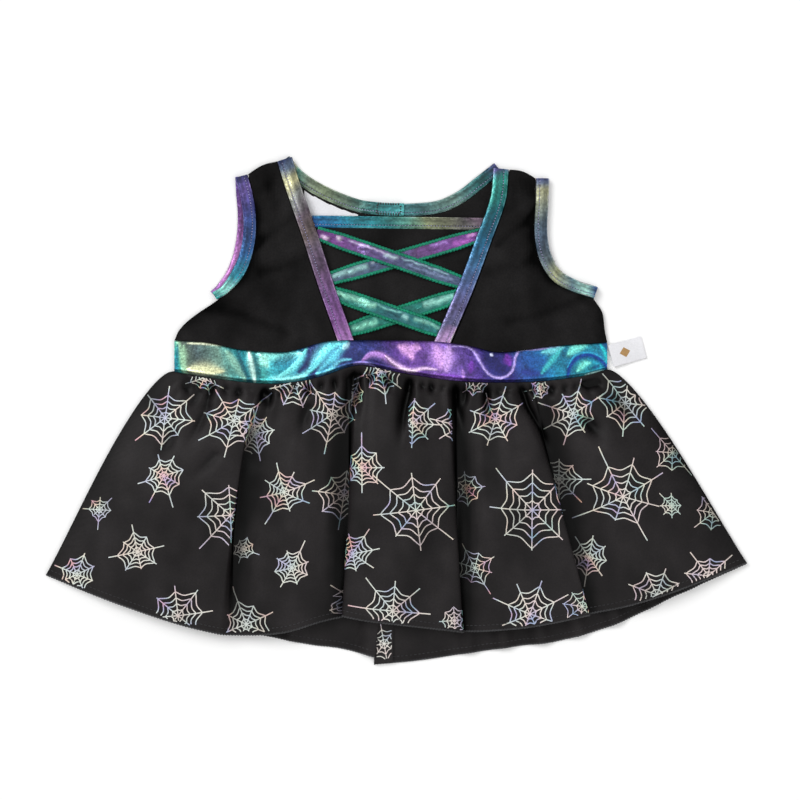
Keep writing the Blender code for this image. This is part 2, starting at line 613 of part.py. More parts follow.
def main():
    for leftover in list(bpy.data.objects):
        bpy.data.objects.remove(leftover)
    back_bodice("left", SIDE_LEFT, ARMHOLE_LEFT, NECK_LEFT, 1, OVERLAP_LEFT_WAIST)
    back_bodice("right", SIDE_RIGHT, ARMHOLE_RIGHT, NECK_RIGHT, -1, OVERLAP_RIGHT_WAIST)
    back_waistband("waistband_back_left", WAIST_LEFT, OVERLAP_LEFT_WAIST, OVERLAP_Z - BACK_Z)
    back_waistband("waistband_back_right", OVERLAP_RIGHT_WAIST, WAIST_RIGHT, 0.0)
    back_skirt("skirt_back_left", WAIST_LEFT, HEM_LEFT, OVERLAP_LEFT_WAIST, OVERLAP_LEFT_HEM,
               BACK_HEM_LEFT, OVERLAP_Z + LACE_STEP - BACK_Z)
    back_skirt("skirt_back_right", WAIST_RIGHT, HEM_RIGHT, OVERLAP_RIGHT_WAIST, OVERLAP_RIGHT_HEM,
               BACK_HEM_RIGHT, 0.0)
    back_facing()
    front_insert()
    laces()
    front_side_panel("left", SIDE_LEFT, ARMHOLE_LEFT, NECKLINE_LEFT, 1)
    front_side_panel("right", SIDE_RIGHT, ARMHOLE_RIGHT, NECKLINE_RIGHT, -1)
    bindings()
    front_waistband()
    front_skirt()
    labels()


main()
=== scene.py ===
"""Looks of the sleeveless witch dress for a soft toy, laid flat on its back.

Every cloth piece is a thin shell on the middle surface of its solid, made from the same curves at a
finer step and then creased, stitched and printed. Tables are in the solids' own millimetres, measured
from the same point as theirs; left and right are the viewer's.
"""

import math
import random
from collections import namedtuple

import bpy
import numpy as np
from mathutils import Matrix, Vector, noise


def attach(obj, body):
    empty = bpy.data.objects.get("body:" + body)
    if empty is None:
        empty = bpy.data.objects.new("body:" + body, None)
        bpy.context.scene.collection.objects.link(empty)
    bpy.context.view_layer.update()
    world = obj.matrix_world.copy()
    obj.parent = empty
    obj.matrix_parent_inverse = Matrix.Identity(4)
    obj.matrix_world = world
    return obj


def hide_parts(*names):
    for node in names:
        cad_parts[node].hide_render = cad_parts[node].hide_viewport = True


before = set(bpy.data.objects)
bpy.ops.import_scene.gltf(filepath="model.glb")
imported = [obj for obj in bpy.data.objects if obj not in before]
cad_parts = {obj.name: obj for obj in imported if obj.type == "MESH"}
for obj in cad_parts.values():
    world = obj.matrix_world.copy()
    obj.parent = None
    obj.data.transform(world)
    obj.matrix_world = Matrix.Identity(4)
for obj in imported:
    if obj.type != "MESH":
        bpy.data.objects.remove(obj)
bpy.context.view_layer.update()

MM = 0.001

# Middle of the whole dress in the sizes below, which is the frame's origin
MIDDLE = (-1.1, -0.67, 0.0)

# Cloth and layers, as the solids have them, and the thinner cloth that shows
CLOTH = 1.0
BINDING = 1.6
SEAM = 0.3
BACK_Z = CLOTH / 2
BACK_BINDING_Z = BINDING / 2
FRONT_EDGE_Z = CLOTH + SEAM + CLOTH / 2
FRONT_BINDING_Z = BINDING + SEAM + BINDING / 2
OVERLAP_Z = FRONT_EDGE_Z
INSERT_Z = OVERLAP_Z + CLOTH + 0.4
LACE_STEP = CLOTH + SEAM
NECKLINE_Z = INSERT_Z + LACE_STEP + CLOTH / 2 + SEAM + BINDING / 2
SHOULDER_Z = 2.1
THIN = 0.6
TAPE_THICK = 1.4

# Widths of the foil strips
NECKLINE_WIDTH = 6.8
NECK_WIDTH = 5.6
ARMHOLE_WIDTH = 5.6
ARMHOLE_NARROW = {"left": 0.66, "right": 0.9}
ARMHOLE_STEPS = 12
SIDE_ROWS = 3
PANEL_ROWS = SIDE_ROWS + ARMHOLE_STEPS
BAND_WIDTH = 5.4
LACE_WIDTH = 7.4
LACE_TAPER = 0.22
FACING_WIDTH = 8.0

# Waist seam and how high the front stands there
WAIST_LEFT, WAIST_RIGHT = -98.6, 91.4
WAIST_RISE = 5.0
WAIST_SHAPE = 2.2
WAIST_TOP = [(-98.6, 29.9), (-84.7, 29.0), (-68.6, 25.7), (-49.3, 24.8), (-31.2, 29.3), (0.0, 29.7),
             (16.7, 29.3), (31.2, 27.3), (43.8, 24.6), (67.3, 27.3), (91.4, 29.0)]
WAIST_BOTTOM = [(-98.6, 16.4), (-75.0, 12.8), (-55.0, 11.3), (-36.3, 13.8), (-17.6, 19.4), (0.0, 16.2),
                (25.3, 12.5), (55.4, 12.0), (80.1, 14.5), (91.4, 17.6)]
BACK_WAIST_TOP, BACK_WAIST_BOTTOM = 28.4, 17.0

# Middle lines of the bindings, from the waist or the underarm upwards
NECKLINE_LEFT = [(-23.9, 31.6), (-31.8, 53.9), (-39.2, 76.7), (-46.6, 98.0), (-50.2, 109.6)]
NECKLINE_RIGHT = [(20.0, 31.6), (29.6, 54.0), (37.2, 74.5), (43.4, 92.0), (44.8, 105.4)]
ARMHOLE_LEFT = [(-80.9, 49.6), (-76.2, 52.6), (-70.5, 60.0), (-67.2, 68.0), (-65.6, 77.0), (-65.7, 86.2),
                (-67.2, 95.0), (-69.2, 102.2)]
ARMHOLE_RIGHT = [(86.4, 51.0), (76.8, 54.2), (70.0, 57.8), (65.9, 63.0), (63.2, 70.2), (62.2, 79.0),
                 (62.8, 92.1), (63.0, 101.2)]
BACK_ARMHOLE_SHIFT = {"left": 2.9, "right": 0.0}
NECK_LEFT = [(2.2, 87.5), (-8.0, 87.8), (-18.5, 89.5), (-33.6, 95.5), (-44.0, 102.1), (-50.4, 109.4)]
NECK_RIGHT = [(-9.2, 87.8), (4.0, 87.5), (17.6, 88.9), (27.4, 93.4), (35.0, 99.2), (43.6, 105.9)]
SIDE_LEFT = [(-98.5, 30.2), (-96.6, 34.4), (-92.0, 39.2)]
SIDE_RIGHT = [(91.4, 29.4), (90.3, 35.0), (89.2, 42.5)]

# Front insert and its top band
INSERT_BOTTOM, INSERT_TOP_LEFT, INSERT_TOP_RIGHT = 26.5, 79.9, 78.7
INSERT_TUCK = 3.0
BAND_LEFT, BAND_RIGHT = (-38.0, 82.2), (36.6, 81.2)

# Each lace: where its middle line starts and ends, and whether it crosses on top
Lace = namedtuple("Lace", "name start end over")
LACES = [
    Lace("lace_upper_over", (-36.2, 77.2), (28.6, 55.0), True),
    Lace("lace_upper_under", (36.0, 76.4), (-31.4, 56.8), False),
    Lace("lace_lower_over", (-29.6, 51.2), (20.6, 33.6), True),
    Lace("lace_lower_under", (27.0, 50.0), (-22.6, 34.4), False),
]
LACE_CROSSING_X, LACE_CROSSING_HALF, LACE_RAMP = -2.5, 10.8, 6.0

# Centre back: the left half lies on the right one, seen from inside
OVERLAP_LEFT_WAIST, OVERLAP_LEFT_HEM = 2.2, -10.5
OVERLAP_RIGHT_WAIST, OVERLAP_RIGHT_HEM = -9.2, -11.0
OVERLAP_RAMP = 9.0

# Hems, as height over X, and the corners of the skirt
HEM_LEFT, HEM_RIGHT = -154.9, 152.7
FRONT_HEM = [(-154.9, -72.6), (-136.0, -80.1), (-117.0, -86.9), (-81.8, -97.4), (-60.3, -98.4),
             (-43.6, -95.9), (-24.6, -90.2), (-10.1, -93.0), (8.4, -94.5), (27.1, -97.2), (60.7, -94.4),
             (77.7, -91.1), (103.0, -85.1), (124.1, -78.3), (152.7, -67.5)]
BACK_HEM_LEFT = [(-154.9, -72.9), (-117.0, -87.3), (-81.8, -97.6), (-65.6, -98.0), (-51.7, -100.8),
                 (-37.8, -103.4), (-26.0, -104.8), (-10.0, -108.8)]
BACK_HEM_RIGHT = [(-11.0, -112.0), (8.4, -110.2), (27.1, -107.4), (53.2, -103.7), (70.0, -101.6),
                  (94.6, -94.4), (119.7, -82.6), (152.7, -67.8)]
SIDE_PUFF = 18.0
PUFF_RISE, PUFF_FALL = 0.4, 1.3

# Front skirt: one row for each line that runs from the waist to the hem. tuck moves the line sideways
# halfway down, and mid_z and hem_z are the cloth's height there.
Line = namedtuple("Line", "name waist_x hem_x tuck mid_z hem_z")
SKIRT_LINES = [
    Line("side_left", -98.6, -154.9, 0.0, 1.8, 1.8),
    Line("left_slope", -90.0, -138.2, 0.0, 5.6, 4.8),
    Line("left_rise", -81.4, -118.4, 0.0, 8.2, 7.2),
    Line("left_crest", -72.0, -97.0, 0.0, 9.4, 8.6),
    Line("left_lip", -60.6, -79.4, 0.0, 8.6, 7.6),
    Line("left_valley", -55.4, -70.4, -6.5, 4.2, 5.4),
    Line("second_rise", -49.2, -60.3, 0.0, 7.2, 7.0),
    Line("second_crest", -41.4, -48.0, 0.0, 9.0, 8.6),
    Line("second_slope", -31.2, -34.0, 0.0, 7.0, 7.0),
    Line("second_valley", -23.0, -22.4, 1.0, 4.4, 4.4),
    Line("centre_lip_left", -17.0, -24.6, 0.0, 8.6, 8.0),
    Line("centre_rise", -8.5, -13.6, 0.0, 11.0, 9.8),
    Line("centre_crest", 1.0, 0.5, 0.0, 12.0, 10.6),
    Line("centre_slope", 11.0, 14.5, 0.0, 11.0, 9.8),
    Line("centre_lip_right", 20.0, 27.7, 0.0, 8.6, 8.0),
    Line("third_valley", 26.5, 25.5, -1.0, 4.4, 4.4),
    Line("third_rise", 34.4, 37.8, 0.0, 7.6, 7.2),
    Line("third_crest", 44.4, 57.6, 0.0, 10.2, 9.2),
    Line("third_lip", 52.0, 82.8, 0.0, 8.8, 7.8),
    Line("right_valley", 58.6, 84.0, -3.6, 4.2, 4.8),
    Line("right_rise", 68.6, 98.0, 0.0, 7.2, 6.6),
    Line("right_crest", 77.0, 115.7, 0.0, 8.6, 7.4),
    Line("right_slope", 84.6, 136.0, 0.0, 5.4, 4.6),
    Line("side_right", 91.4, 152.7, 0.0, 1.8, 1.8),
]
STEPS_PER_LINE = 13
FRONT_ROWS = 120

# Back skirt: flat on the surface, with channels that rise off it
BACK_GATHERS = 10
BACK_COLUMNS, BACK_ROWS = 150, 80
BACK_CHANNEL_WAIST, BACK_CHANNEL_HEM = 1.0, 2.0

# How the edges of the panels run, as shares of their length unless in millimetres
ARMHOLE_TURN = 0.3
UNDERARM_START, UNDERARM_SPAN = 0.15, 0.15
NECKLINE_DROP = 0.68
SHOULDER_DROP = 0.8
SHOULDER_CROWN = 1.2
SHOULDER_SHARE = 0.22
SHOULDER_CORNER_OUT, SHOULDER_CORNER_UP = 1.0, 1.5
BACK_ARMHOLE_POWER = 0.7
OVERLAP_LEVEL = 1.0
BACK_NECK_GAP = 0.2 * SEAM
PANEL_GRID, BACK_GRID, INSERT_GRID, NECK_LABEL_GRID = (60, 120), (60, 90), (60, 50), (30, 24)

# How the skirt's rows and lines run, as shares of the drop or of the width
FRONT_ROW_POWER, BACK_ROW_POWER = 1.25, 1.2
MID_SHARE = 0.4
TUCK_IN, TUCK_HOLD, TUCK_LOSS = 0.3, 0.55, 0.6
BACK_CHANNEL_GROWTH, BACK_CHANNEL_POWER = 0.4, 1.5
BACK_SIDE_FLAT, BACK_SIDE_RAMP = 0.08, 0.1
BACK_CENTRE_FLAT, BACK_CENTRE_RAMP = 0.8, 0.08

# Labels
SIDE_LABEL_LIFT, SIDE_LABEL_DROP = 0.2, 0.8
SIDE_LABEL_ROWS, SIDE_LABEL_COLUMNS = 20, 40
# The diamond on the side label: its middle and half its height and width, in rows and columns
MARK_ROW, MARK_COLUMN, MARK_HALF_ROWS, MARK_HALF_COLUMNS = 10.0, 17.0, 4.6, 6.4
MARK_TOP, MARK_FOOT = 0.5, 0.38
NECK_LABEL_LEAN = 1.6
COLLAR_READINGS = 60
SIDE_LABEL = [(93.1, 23.3), (107.6, 27.3)]
SIDE_LABEL_WIDTH = 9.8
NECK_LABEL_LEFT, NECK_LABEL_RIGHT, NECK_LABEL_BOTTOM = -41.6, -18.0, 76.0


def linear(code):
    """Scene-linear colour of a hex code."""
    parts = [int(code[k:k + 2], 16) / 255 for k in (0, 2, 4)]
    return tuple(p / 12.92 if p < 0.04045 else ((p + 0.055) / 1.055) ** 2.4 for p in parts)


def hermite(stations, values, at):
    """The value at a station on a smooth curve through the listed ones."""
    last = len(stations) - 1
    i = 0
    while i < last - 1 and at > stations[i + 1]:
        i += 1
    slopes = []
    for k in (i, i + 1):
        before, after = max(k - 1, 0), min(k + 1, last)
        slopes.append((values[after] - values[before]) / (stations[after] - stations[before]))
    span = stations[i + 1] - stations[i]
    t = (at - stations[i]) / span
    start = (2 * t**3 - 3 * t**2 + 1) * values[i] + (t**3 - 2 * t**2 + t) * span * slopes[0]
    end = (3 * t**2 - 2 * t**3) * values[i + 1] + (t**3 - t**2) * span * slopes[1]
    return start + end


def height_over(table, x):
    """Y at x on the smooth edge through a table of (x, y)."""
    return hermite([row[0] for row in table], [row[1] for row in table], x)


def ease(t):
    """0 to 1 with soft ends."""
    t = min(max(t, 0.0), 1.0)
    return t * t * (3 - 2 * t)


def mix(a, b, t):
    return a + (b - a) * t


def uneven(x, y, size, seed):
    """Smooth unevenness from about -1 to 1, with bumps of a size in millimetres."""
    return noise.noise(Vector((x / size, y / size, 7.3 * seed)))


class Path:
    """A smooth line in plan through knots, read by the share of its length."""

    def __init__(self, knots):
        self.knots = [Vector(knot) for knot in knots]
        self.stations = [0.0]
        for a, b in zip(self.knots, self.knots[1:]):
            self.stations.append(self.stations[-1] + (b - a).length)
        self.length = self.stations[-1]

    def at(self, share):
        where = share * self.length
        return Vector(hermite(self.stations, [knot[axis] for knot in self.knots], where) for axis in (0, 1))

    def beside(self, share, distance):
        """The point that lies distance to the left of the line."""
        step = 0.004
        ahead = (self.at(min(share + step, 1.0)) - self.at(max(share - step, 0.0))).normalized()
        return self.at(share) + Vector((-ahead.y, ahead.x)) * distance


class Surface:
    """A grid of points that is read between its rows and columns, with the way that its cloth faces."""

    def __init__(self, grid):
        self.points = np.asarray(grid, float)
        self.across = np.gradient(self.points, axis=1)
        self.down = np.gradient(self.points, axis=0)
        normal = np.cross(self.across, self.down)
        normal /= np.maximum(np.linalg.norm(normal, axis=2, keepdims=True), 1e-9)
        self.turned = normal[..., 2].mean() < 0
        self.normal = -normal if self.turned else normal
        self.last_row, self.last_column = self.points.shape[0] - 1, self.points.shape[1] - 1

    def read(self, layer, row, column):
        """Values of a layer of the grid at arrays of rows and columns."""
        row = np.clip(row, 0, self.last_row - 1e-6)
        column = np.clip(column, 0, self.last_column - 1e-6)
        j, i = row.astype(int), column.astype(int)
        v, u = (row - j)[..., None], (column - i)[..., None]
        return ((layer[j, i] * (1 - u) + layer[j, i + 1] * u) * (1 - v)
                + (layer[j + 1, i] * (1 - u) + layer[j + 1, i + 1] * u) * v)

    def above(self, row, column, lift):
        """Points that stand lift off the middle surface, and the ways that the cloth faces there."""
        normal = self.read(self.normal, row, column)
        return self.read(self.points, row, column) + normal * lift, normal

    def inside(self, row, column, margin=0.0):
        return ((row >= margin) & (row <= self.last_row - margin)
                & (column >= margin) & (column <= self.last_column - margin))

    def nearest(self, x, y, upward=1):
        """Row and column of the uppermost (or lowest) point of the cloth near a place in plan."""
        away = (self.points[..., 0] - x) ** 2 + (self.points[..., 1] - y) ** 2
        near = away < away.min() + 1.5
        score = np.where(near, upward * self.points[..., 2] - away, -1e9)
        return np.unravel_index(score.argmax(), score.shape)


def located(points):
    """The millimetre points as the frame's metres."""
    return (np.asarray(points, float) - np.array(MIDDLE)) * MM


def new_object(name, points, faces, look, nodes=(), colour_and_painted_light=None):
    """A mesh piece on the dress's one body, which may stand for CAD nodes."""
    mesh = bpy.data.meshes.new(name)
    mesh.from_pydata(located(points).tolist(), [], faces)
    mesh.shade_smooth()
    mesh.set_sharp_from_angle(angle=math.radians(55))
    mesh.materials.append(look)
    # Point colours carry the pieces' painted light and shade as well as their own colour
    if colour_and_painted_light is not None:
        colours = np.ones((len(points), 4))
        colours[:, :3] = colour_and_painted_light
        mesh.color_attributes.new("colour_and_painted_light", "FLOAT_COLOR", "POINT").data.foreach_set("color", colours.ravel())
    piece = bpy.data.objects.new(name, mesh)
    bpy.context.scene.collection.objects.link(piece)
    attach(piece, "root")
    if nodes:
        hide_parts(*nodes)
    return piece


def shell(name, surface, thickness, look, nodes, colour_and_painted_light=None):
    """A thin closed cloth round a surface; thickness is one number or one for each point.

    Its last argument gives the colour of each point, painted light and shade included, or a pair of them for
    the upper and the lower side.
    """
    rows, columns = surface.points.shape[:2]
    half = np.broadcast_to(np.asarray(thickness, float), (rows, columns))[..., None] / 2
    upper = (surface.points + surface.normal * half).reshape(-1, 3)
    lower = (surface.points - surface.normal * half).reshape(-1, 3)
    lower[:, 2] = np.maximum(lower[:, 2], 0.0)
    count = rows * columns
    index = np.arange(count).reshape(rows, columns)
    quads = np.stack([index[:-1, :-1], index[:-1, 1:], index[1:, 1:], index[1:, :-1]], axis=2).reshape(-1, 4)
    border = np.concatenate([index[0, :-1], index[:-1, -1], index[-1, :0:-1], index[:0:-1, 0]])
    after = np.roll(border, -1)
    rim = np.stack([border, border + count, after + count, after], axis=1)
    top, bottom = quads, quads[:, ::-1] + count
    if surface.turned:
        top, bottom, rim = top[:, ::-1], bottom[:, ::-1], rim[:, ::-1]
    faces = np.concatenate([top, bottom, rim]).tolist()
    sides = colour_and_painted_light if isinstance(colour_and_painted_light, tuple) else (colour_and_painted_light, colour_and_painted_light)
    colours = None if colour_and_painted_light is None else np.concatenate([side.reshape(-1, 3) for side in sides])
    return new_object(name, np.concatenate([upper, lower]), faces, look, nodes, colours)


def touch(plan, points, half, fading=False, soft=0.0, tapered=False):
    """How much a stroke through the points touches each place in plan, from 0 to 1.

    A soft stroke fades out over that many times its half width more, on its left if soft is above 0 and
    on its right if it is below.
    """
    nearest = np.full(plan.shape[:-1], 1e9)
    along = np.zeros(plan.shape[:-1])
    left = np.zeros(plan.shape[:-1], bool)
    count = len(points) - 1
    for k in range(count):
        a, b = np.array(points[k], float), np.array(points[k + 1], float)
        step = b - a
        t = np.clip(((plan - a) @ step) / (step @ step), 0, 1)
        gap = plan - a - t[..., None] * step
        away = np.linalg.norm(gap, axis=-1)
        closer = away < nearest
        nearest = np.where(closer, away, nearest)
        along = np.where(closer, (k + t) / count, along)
        left = np.where(closer, step[0] * gap[..., 1] - step[1] * gap[..., 0] > 0, left)
    width = np.full(nearest.shape, float(half))
    if tapered:
        width *= 0.3 + 0.7 * np.sin(math.pi * np.clip(along, 0.02, 0.98)) ** 0.6
    if soft:
        width *= 1 + abs(soft) * (left == (soft > 0))
    amount = np.exp(-(nearest / width) ** 2)
    if fading:
        rest = np.clip((1 - along) / 0.7, 0, 1)
        amount *= rest * rest * (3 - 2 * rest)
    return amount


def smoothed(knots, steps=20):
    """Points at even steps of a smooth line through knots."""
    path = Path(knots)
    return [tuple(path.at(k / steps)) for k in range(steps + 1)]


def hollows(points, reach, sign=1):
    """How far each point lies below the cloth's mean top within a reach; sign -1 looks from below."""
    cell = 1.5
    margin = 3 * reach
    low = points[..., :2].min(axis=(0, 1)) - margin
    place = ((points[..., :2] - low) / cell).astype(int)
    size = place.max(axis=(0, 1)) + int(margin / cell) + 2
    height = sign * points[..., 2] + 20.0
    top = np.zeros(size)
    np.maximum.at(top, (place[..., 0], place[..., 1]), height)
    span = np.arange(-margin, margin + cell, cell)
    kernel = np.exp(-(span / reach) ** 2)

    def blurred(layer):
        for axis in (0, 1):
            layer = np.apply_along_axis(lambda line: np.convolve(line, kernel, "same"), axis, layer)
        return layer

    mean = blurred(top) / np.maximum(blurred((top > 0).astype(float)), 1e-6)
    return mean[place[..., 0], place[..., 1]] - height


# Painted shade of cloth in its hollows: how wide it looks for hollows, how much each millimetre counts, and
# how deep is free
Hollow = namedtuple("Hollow", "reach weight free")
HOLLOWS = [Hollow(3.0, 0.36, 0.1), Hollow(8.0, 0.26, 0.3), Hollow(14.0, 0.2, 0.8)]
# Painted light: how much lighter crests are and the crest height that counts at most; the strength of a broad
# painted sheen over the cloth; the least and most painted shade
CREST_LIGHT, CREST_HIGHEST = 0.09, 2.5
SHEEN_DRIFT = 0.6
SHADE_LEAST, SHADE_MOST = 0.03, 1.35


def shade_of(points, sign=1, depth=1.0):
    """Painted shade of cloth at each point: dark in hollows, a little lighter on crests, with a broad painted
    sheen drifting over it.

    depth makes shallow hollows count for more.
    """
    depths = [depth * hollows(points, hollow.reach, sign) for hollow in HOLLOWS]
    shade = 1.0 + CREST_LIGHT * np.clip(-depths[1], 0, CREST_HIGHEST)
    for hollow, below in zip(HOLLOWS, depths):
        shade -= hollow.weight * np.maximum(below - hollow.free, 0)
    drift = [[uneven(x, 0.5 * y, 17.0, 90) + 0.5 * uneven(x, 0.6 * y, 7.0, 91) for x, y in row]
             for row in points[..., :2]]
    return np.clip(shade * (1 + SHEEN_DRIFT * np.array(drift)), SHADE_LEAST, SHADE_MOST)


def shading(surface, depth=1.0):
    """Painted shade of both sides of a cloth from its hollows, as grey colours."""
    return tuple(np.repeat(shade_of(surface.points, sign, depth)[..., None], 3, axis=-1)
                 for sign in (1, -1))


def ramp(stops, shares):
    """Colours at an array of shares of the way through (share, colour) stops."""
    places = [stop[0] for stop in stops]
    return np.stack([np.interp(shares, places, [stop[1][k] for stop in stops]) for k in range(3)], axis=-1)


def tube(line, up, radius, twist, sides=8):
    """Points and faces of a corded edge along a line; twist is (pitch, strands, depth) of its thread."""
    line, up = np.asarray(line, float), np.asarray(up, float)
    ahead = np.gradient(line, axis=0)
    ahead /= np.linalg.norm(ahead, axis=1, keepdims=True)
    side = np.cross(ahead, up)
    side /= np.linalg.norm(side, axis=1, keepdims=True)
    up = np.cross(side, ahead)
    along = np.concatenate([[0], np.cumsum(np.linalg.norm(np.diff(line, axis=0), axis=1))])
    pitch, strands, depth = twist
    points = []
    for k in range(sides):
        angle = 2 * math.pi * k / sides
        bulge = radius * (1 + depth * np.cos(strands * angle - 2 * math.pi * along / pitch))
        points.append(line + (side * math.cos(angle) + up * math.sin(angle)) * bulge[:, None])
    rings = np.stack(points, axis=1)
    count = len(line)
    faces = []
    for j in range(count - 1):
        for k in range(sides):
            a, b = j * sides + k, j * sides + (k + 1) % sides
            faces.append([a, b, b + sides, a + sides])
    faces.append(list(range(sides))[::-1])
    faces.append([(count - 1) * sides + k for k in range(sides)])
    return rings.reshape(-1, 3), faces


def joined(parts):
    """One list of points and one of faces from several."""
    points, faces = [], []
    for some, corners in parts:
        start = sum(len(p) for p in points)
        points.append(np.asarray(some, float))
        faces += [[start + corner for corner in face] for face in corners]
    return np.concatenate(points), faces


def grain(start, end, up, width, rise):
    """One thread stitch that lies on the cloth as a small rounded grain."""
    ahead = end - start
    side = np.cross(ahead, up)
    side *= width / 2 / max(np.linalg.norm(side), 1e-9)
    points = [start]
    for share in (0.22, 0.78):
        middle = start + ahead * share
        points += [middle + side, middle + up * rise, middle - side, middle - up * rise]
    points.append(end)
    faces = []
    for k in range(4):
        a, b = 1 + k, 1 + (k + 1) % 4
        faces += [[0, b, a], [a, b, b + 4, a + 4], [9, a + 4, b + 4]]
    return points, faces


def spaced(line, ups, pitch):
    """The line and its ups again, read at even steps of a pitch."""
    along = np.concatenate([[0], np.cumsum(np.linalg.norm(np.diff(line, axis=0), axis=1))])
    at = np.arange(pitch / 2, along[-1], pitch)
    return (np.stack([np.interp(at, along, line[:, k]) for k in range(3)], axis=1),
            np.stack([np.interp(at, along, ups[:, k]) for k in range(3)], axis=1))


def run_of_stitches(line, ups, kind):
    """Stitches of one kind along a line of points, as (points, faces) parts."""
    places, normals = spaced(np.asarray(line), np.asarray(ups), kind.pitch)
    parts = []
    for k in range(len(places) - 1):
        ahead = (places[k + 1] - places[k]) * kind.share
        parts.append(grain(places[k], places[k] + ahead, normals[k], kind.width, kind.rise))
    return parts


# Materials

def principled(name, roughness, metallic=0.0, specular=0.5, sheen=0.0):
    made = bpy.data.materials.new(name)
    made.use_nodes = True
    shader = made.node_tree.nodes["Principled BSDF"]
    shader.inputs["Roughness"].default_value = roughness
    shader.inputs["Metallic"].default_value = metallic
    shader.inputs["Specular IOR Level"].default_value = specular
    shader.inputs["Sheen Weight"].default_value = sheen
    return made, made.node_tree, shader


def node(tree, kind, **settings):
    made = tree.nodes.new(kind)
    for key, value in settings.items():
        if key in made.inputs:
            made.inputs[key].default_value = value
        else:
            setattr(made, key, value)
    return made


def speckle(tree, size, detail, low, high, spread=(0.3, 0.7)):
    """A noise of bumps of a size in millimetres, as a grey ramp from low to high."""
    place = node(tree, "ShaderNodeTexCoord")
    grain_noise = node(tree, "ShaderNodeTexNoise", Scale=1 / (size * MM), Detail=detail)
    tree.links.new(place.outputs["Object"], grain_noise.inputs["Vector"])
    levels = node(tree, "ShaderNodeValToRGB")
    levels.color_ramp.elements[0].position = spread[0]
    levels.color_ramp.elements[1].position = spread[1]
    levels.color_ramp.elements[0].color = (low, low, low, 1)
    levels.color_ramp.elements[1].color = (high, high, high, 1)
    tree.links.new(grain_noise.outputs["Fac"], levels.inputs["Fac"])
    return levels.outputs["Color"]


def weave(tree, pitch, slant=0.0):
    """Height of a woven surface: threads across and along, pitch millimetres apart."""
    place = node(tree, "ShaderNodeTexCoord")
    turn = node(tree, "ShaderNodeMapping")
    turn.inputs["Rotation"].default_value = (0, 0, slant)
    tree.links.new(place.outputs["Object"], turn.inputs["Vector"])
    threads = []
    for direction in ("X", "Y"):
        # A wave texture at scale 1 has one band for each pi / 10 of its length
        wave = node(tree, "ShaderNodeTexWave", bands_direction=direction, Scale=math.pi / 10 / (pitch * MM),
                    Distortion=0.6)
        tree.links.new(turn.outputs["Vector"], wave.inputs["Vector"])
        threads.append(wave.outputs["Fac"])
    both = node(tree, "ShaderNodeMath", operation="ADD")
    tree.links.new(threads[0], both.inputs[0])
    tree.links.new(threads[1], both.inputs[1])
    return both.outputs["Value"]


def bump(tree, shader, height, strength, distance):
    relief = node(tree, "ShaderNodeBump", Strength=strength, Distance=distance * MM)
    tree.links.new(height, relief.inputs["Height"])
    tree.links.new(relief.outputs["Normal"], shader.inputs["Normal"])


def multiply(tree, first, second):
    """The product of two colours, each a socket or a constant."""
    product = node(tree, "ShaderNodeMix", data_type="RGBA", blend_type="MULTIPLY")
    product.inputs["Factor"].default_value = 1.0
    for socket, value in ((product.inputs[6], first), (product.inputs[7], second)):
        if isinstance(value, tuple):
            socket.default_value = (*value, 1.0)
        else:
            tree.links.new(value, socket)
    return product.outputs[2]


def woven_look(name, colour, roughness, specular, sheen, pitch, relief, contrast, shaded=False):
    """Woven cloth of one colour that is a little uneven; shaded cloth takes a painted shade from its point
    colours, darker in its own hollows.
    """
    made, tree, shader = principled(name, roughness, specular=specular, sheen=sheen)
    uneven_dye = speckle(tree, 9.0, 3.0, 1 - contrast, 1 + contrast)
    fibre = speckle(tree, 0.7, 2.0, 1 - contrast, 1 + contrast)
    dyed = multiply(tree, multiply(tree, colour, uneven_dye), fibre)
    if shaded:
        dyed = multiply(tree, dyed, node(tree, "ShaderNodeVertexColor", layer_name="colour_and_painted_light").outputs["Color"])
    tree.links.new(dyed, shader.inputs["Base Color"])
    bump(tree, shader, weave(tree, pitch), relief, 0.1)
    return made


def foil_look(name, roughness, metallic, sparkle, size):
    """Metallic foil cloth that takes its colour, painted highlights and shade included, from each piece's own
    point colours.
    """
    made, tree, shader = principled(name, roughness, metallic)
    colour_and_painted_light = node(tree, "ShaderNodeVertexColor", layer_name="colour_and_painted_light")
    fine = speckle(tree, size, 4.0, 1 - sparkle, 1 + sparkle, (0.35, 0.65))
    tree.links.new(multiply(tree, colour_and_painted_light.outputs["Color"], fine), shader.inputs["Base Color"])
    rough = node(tree, "ShaderNodeMapRange")
    rough.inputs["To Min"].default_value = roughness - 0.08
    rough.inputs["To Max"].default_value = roughness + 0.14
    tree.links.new(speckle(tree, 2.4, 2.0, 0.0, 1.0), rough.inputs["Value"])
    tree.links.new(rough.outputs["Result"], shader.inputs["Roughness"])
    bump(tree, shader, speckle(tree, 1.3, 3.0, 0.0, 1.0), 0.35, 0.25)
    return made


def print_look():
    """Pearly foil print, in the colour of each point of its lines, painted iridescence and painted shade
    included.
    """
    made, tree, shader = principled("pearl_print", 0.4, 0.1, specular=0.2)
    colour_and_painted_light = node(tree, "ShaderNodeVertexColor", layer_name="colour_and_painted_light")
    fine = speckle(tree, 0.9, 2.0, 0.86, 1.0)
    tree.links.new(multiply(tree, colour_and_painted_light.outputs["Color"], fine), shader.inputs["Base Color"])
    return made


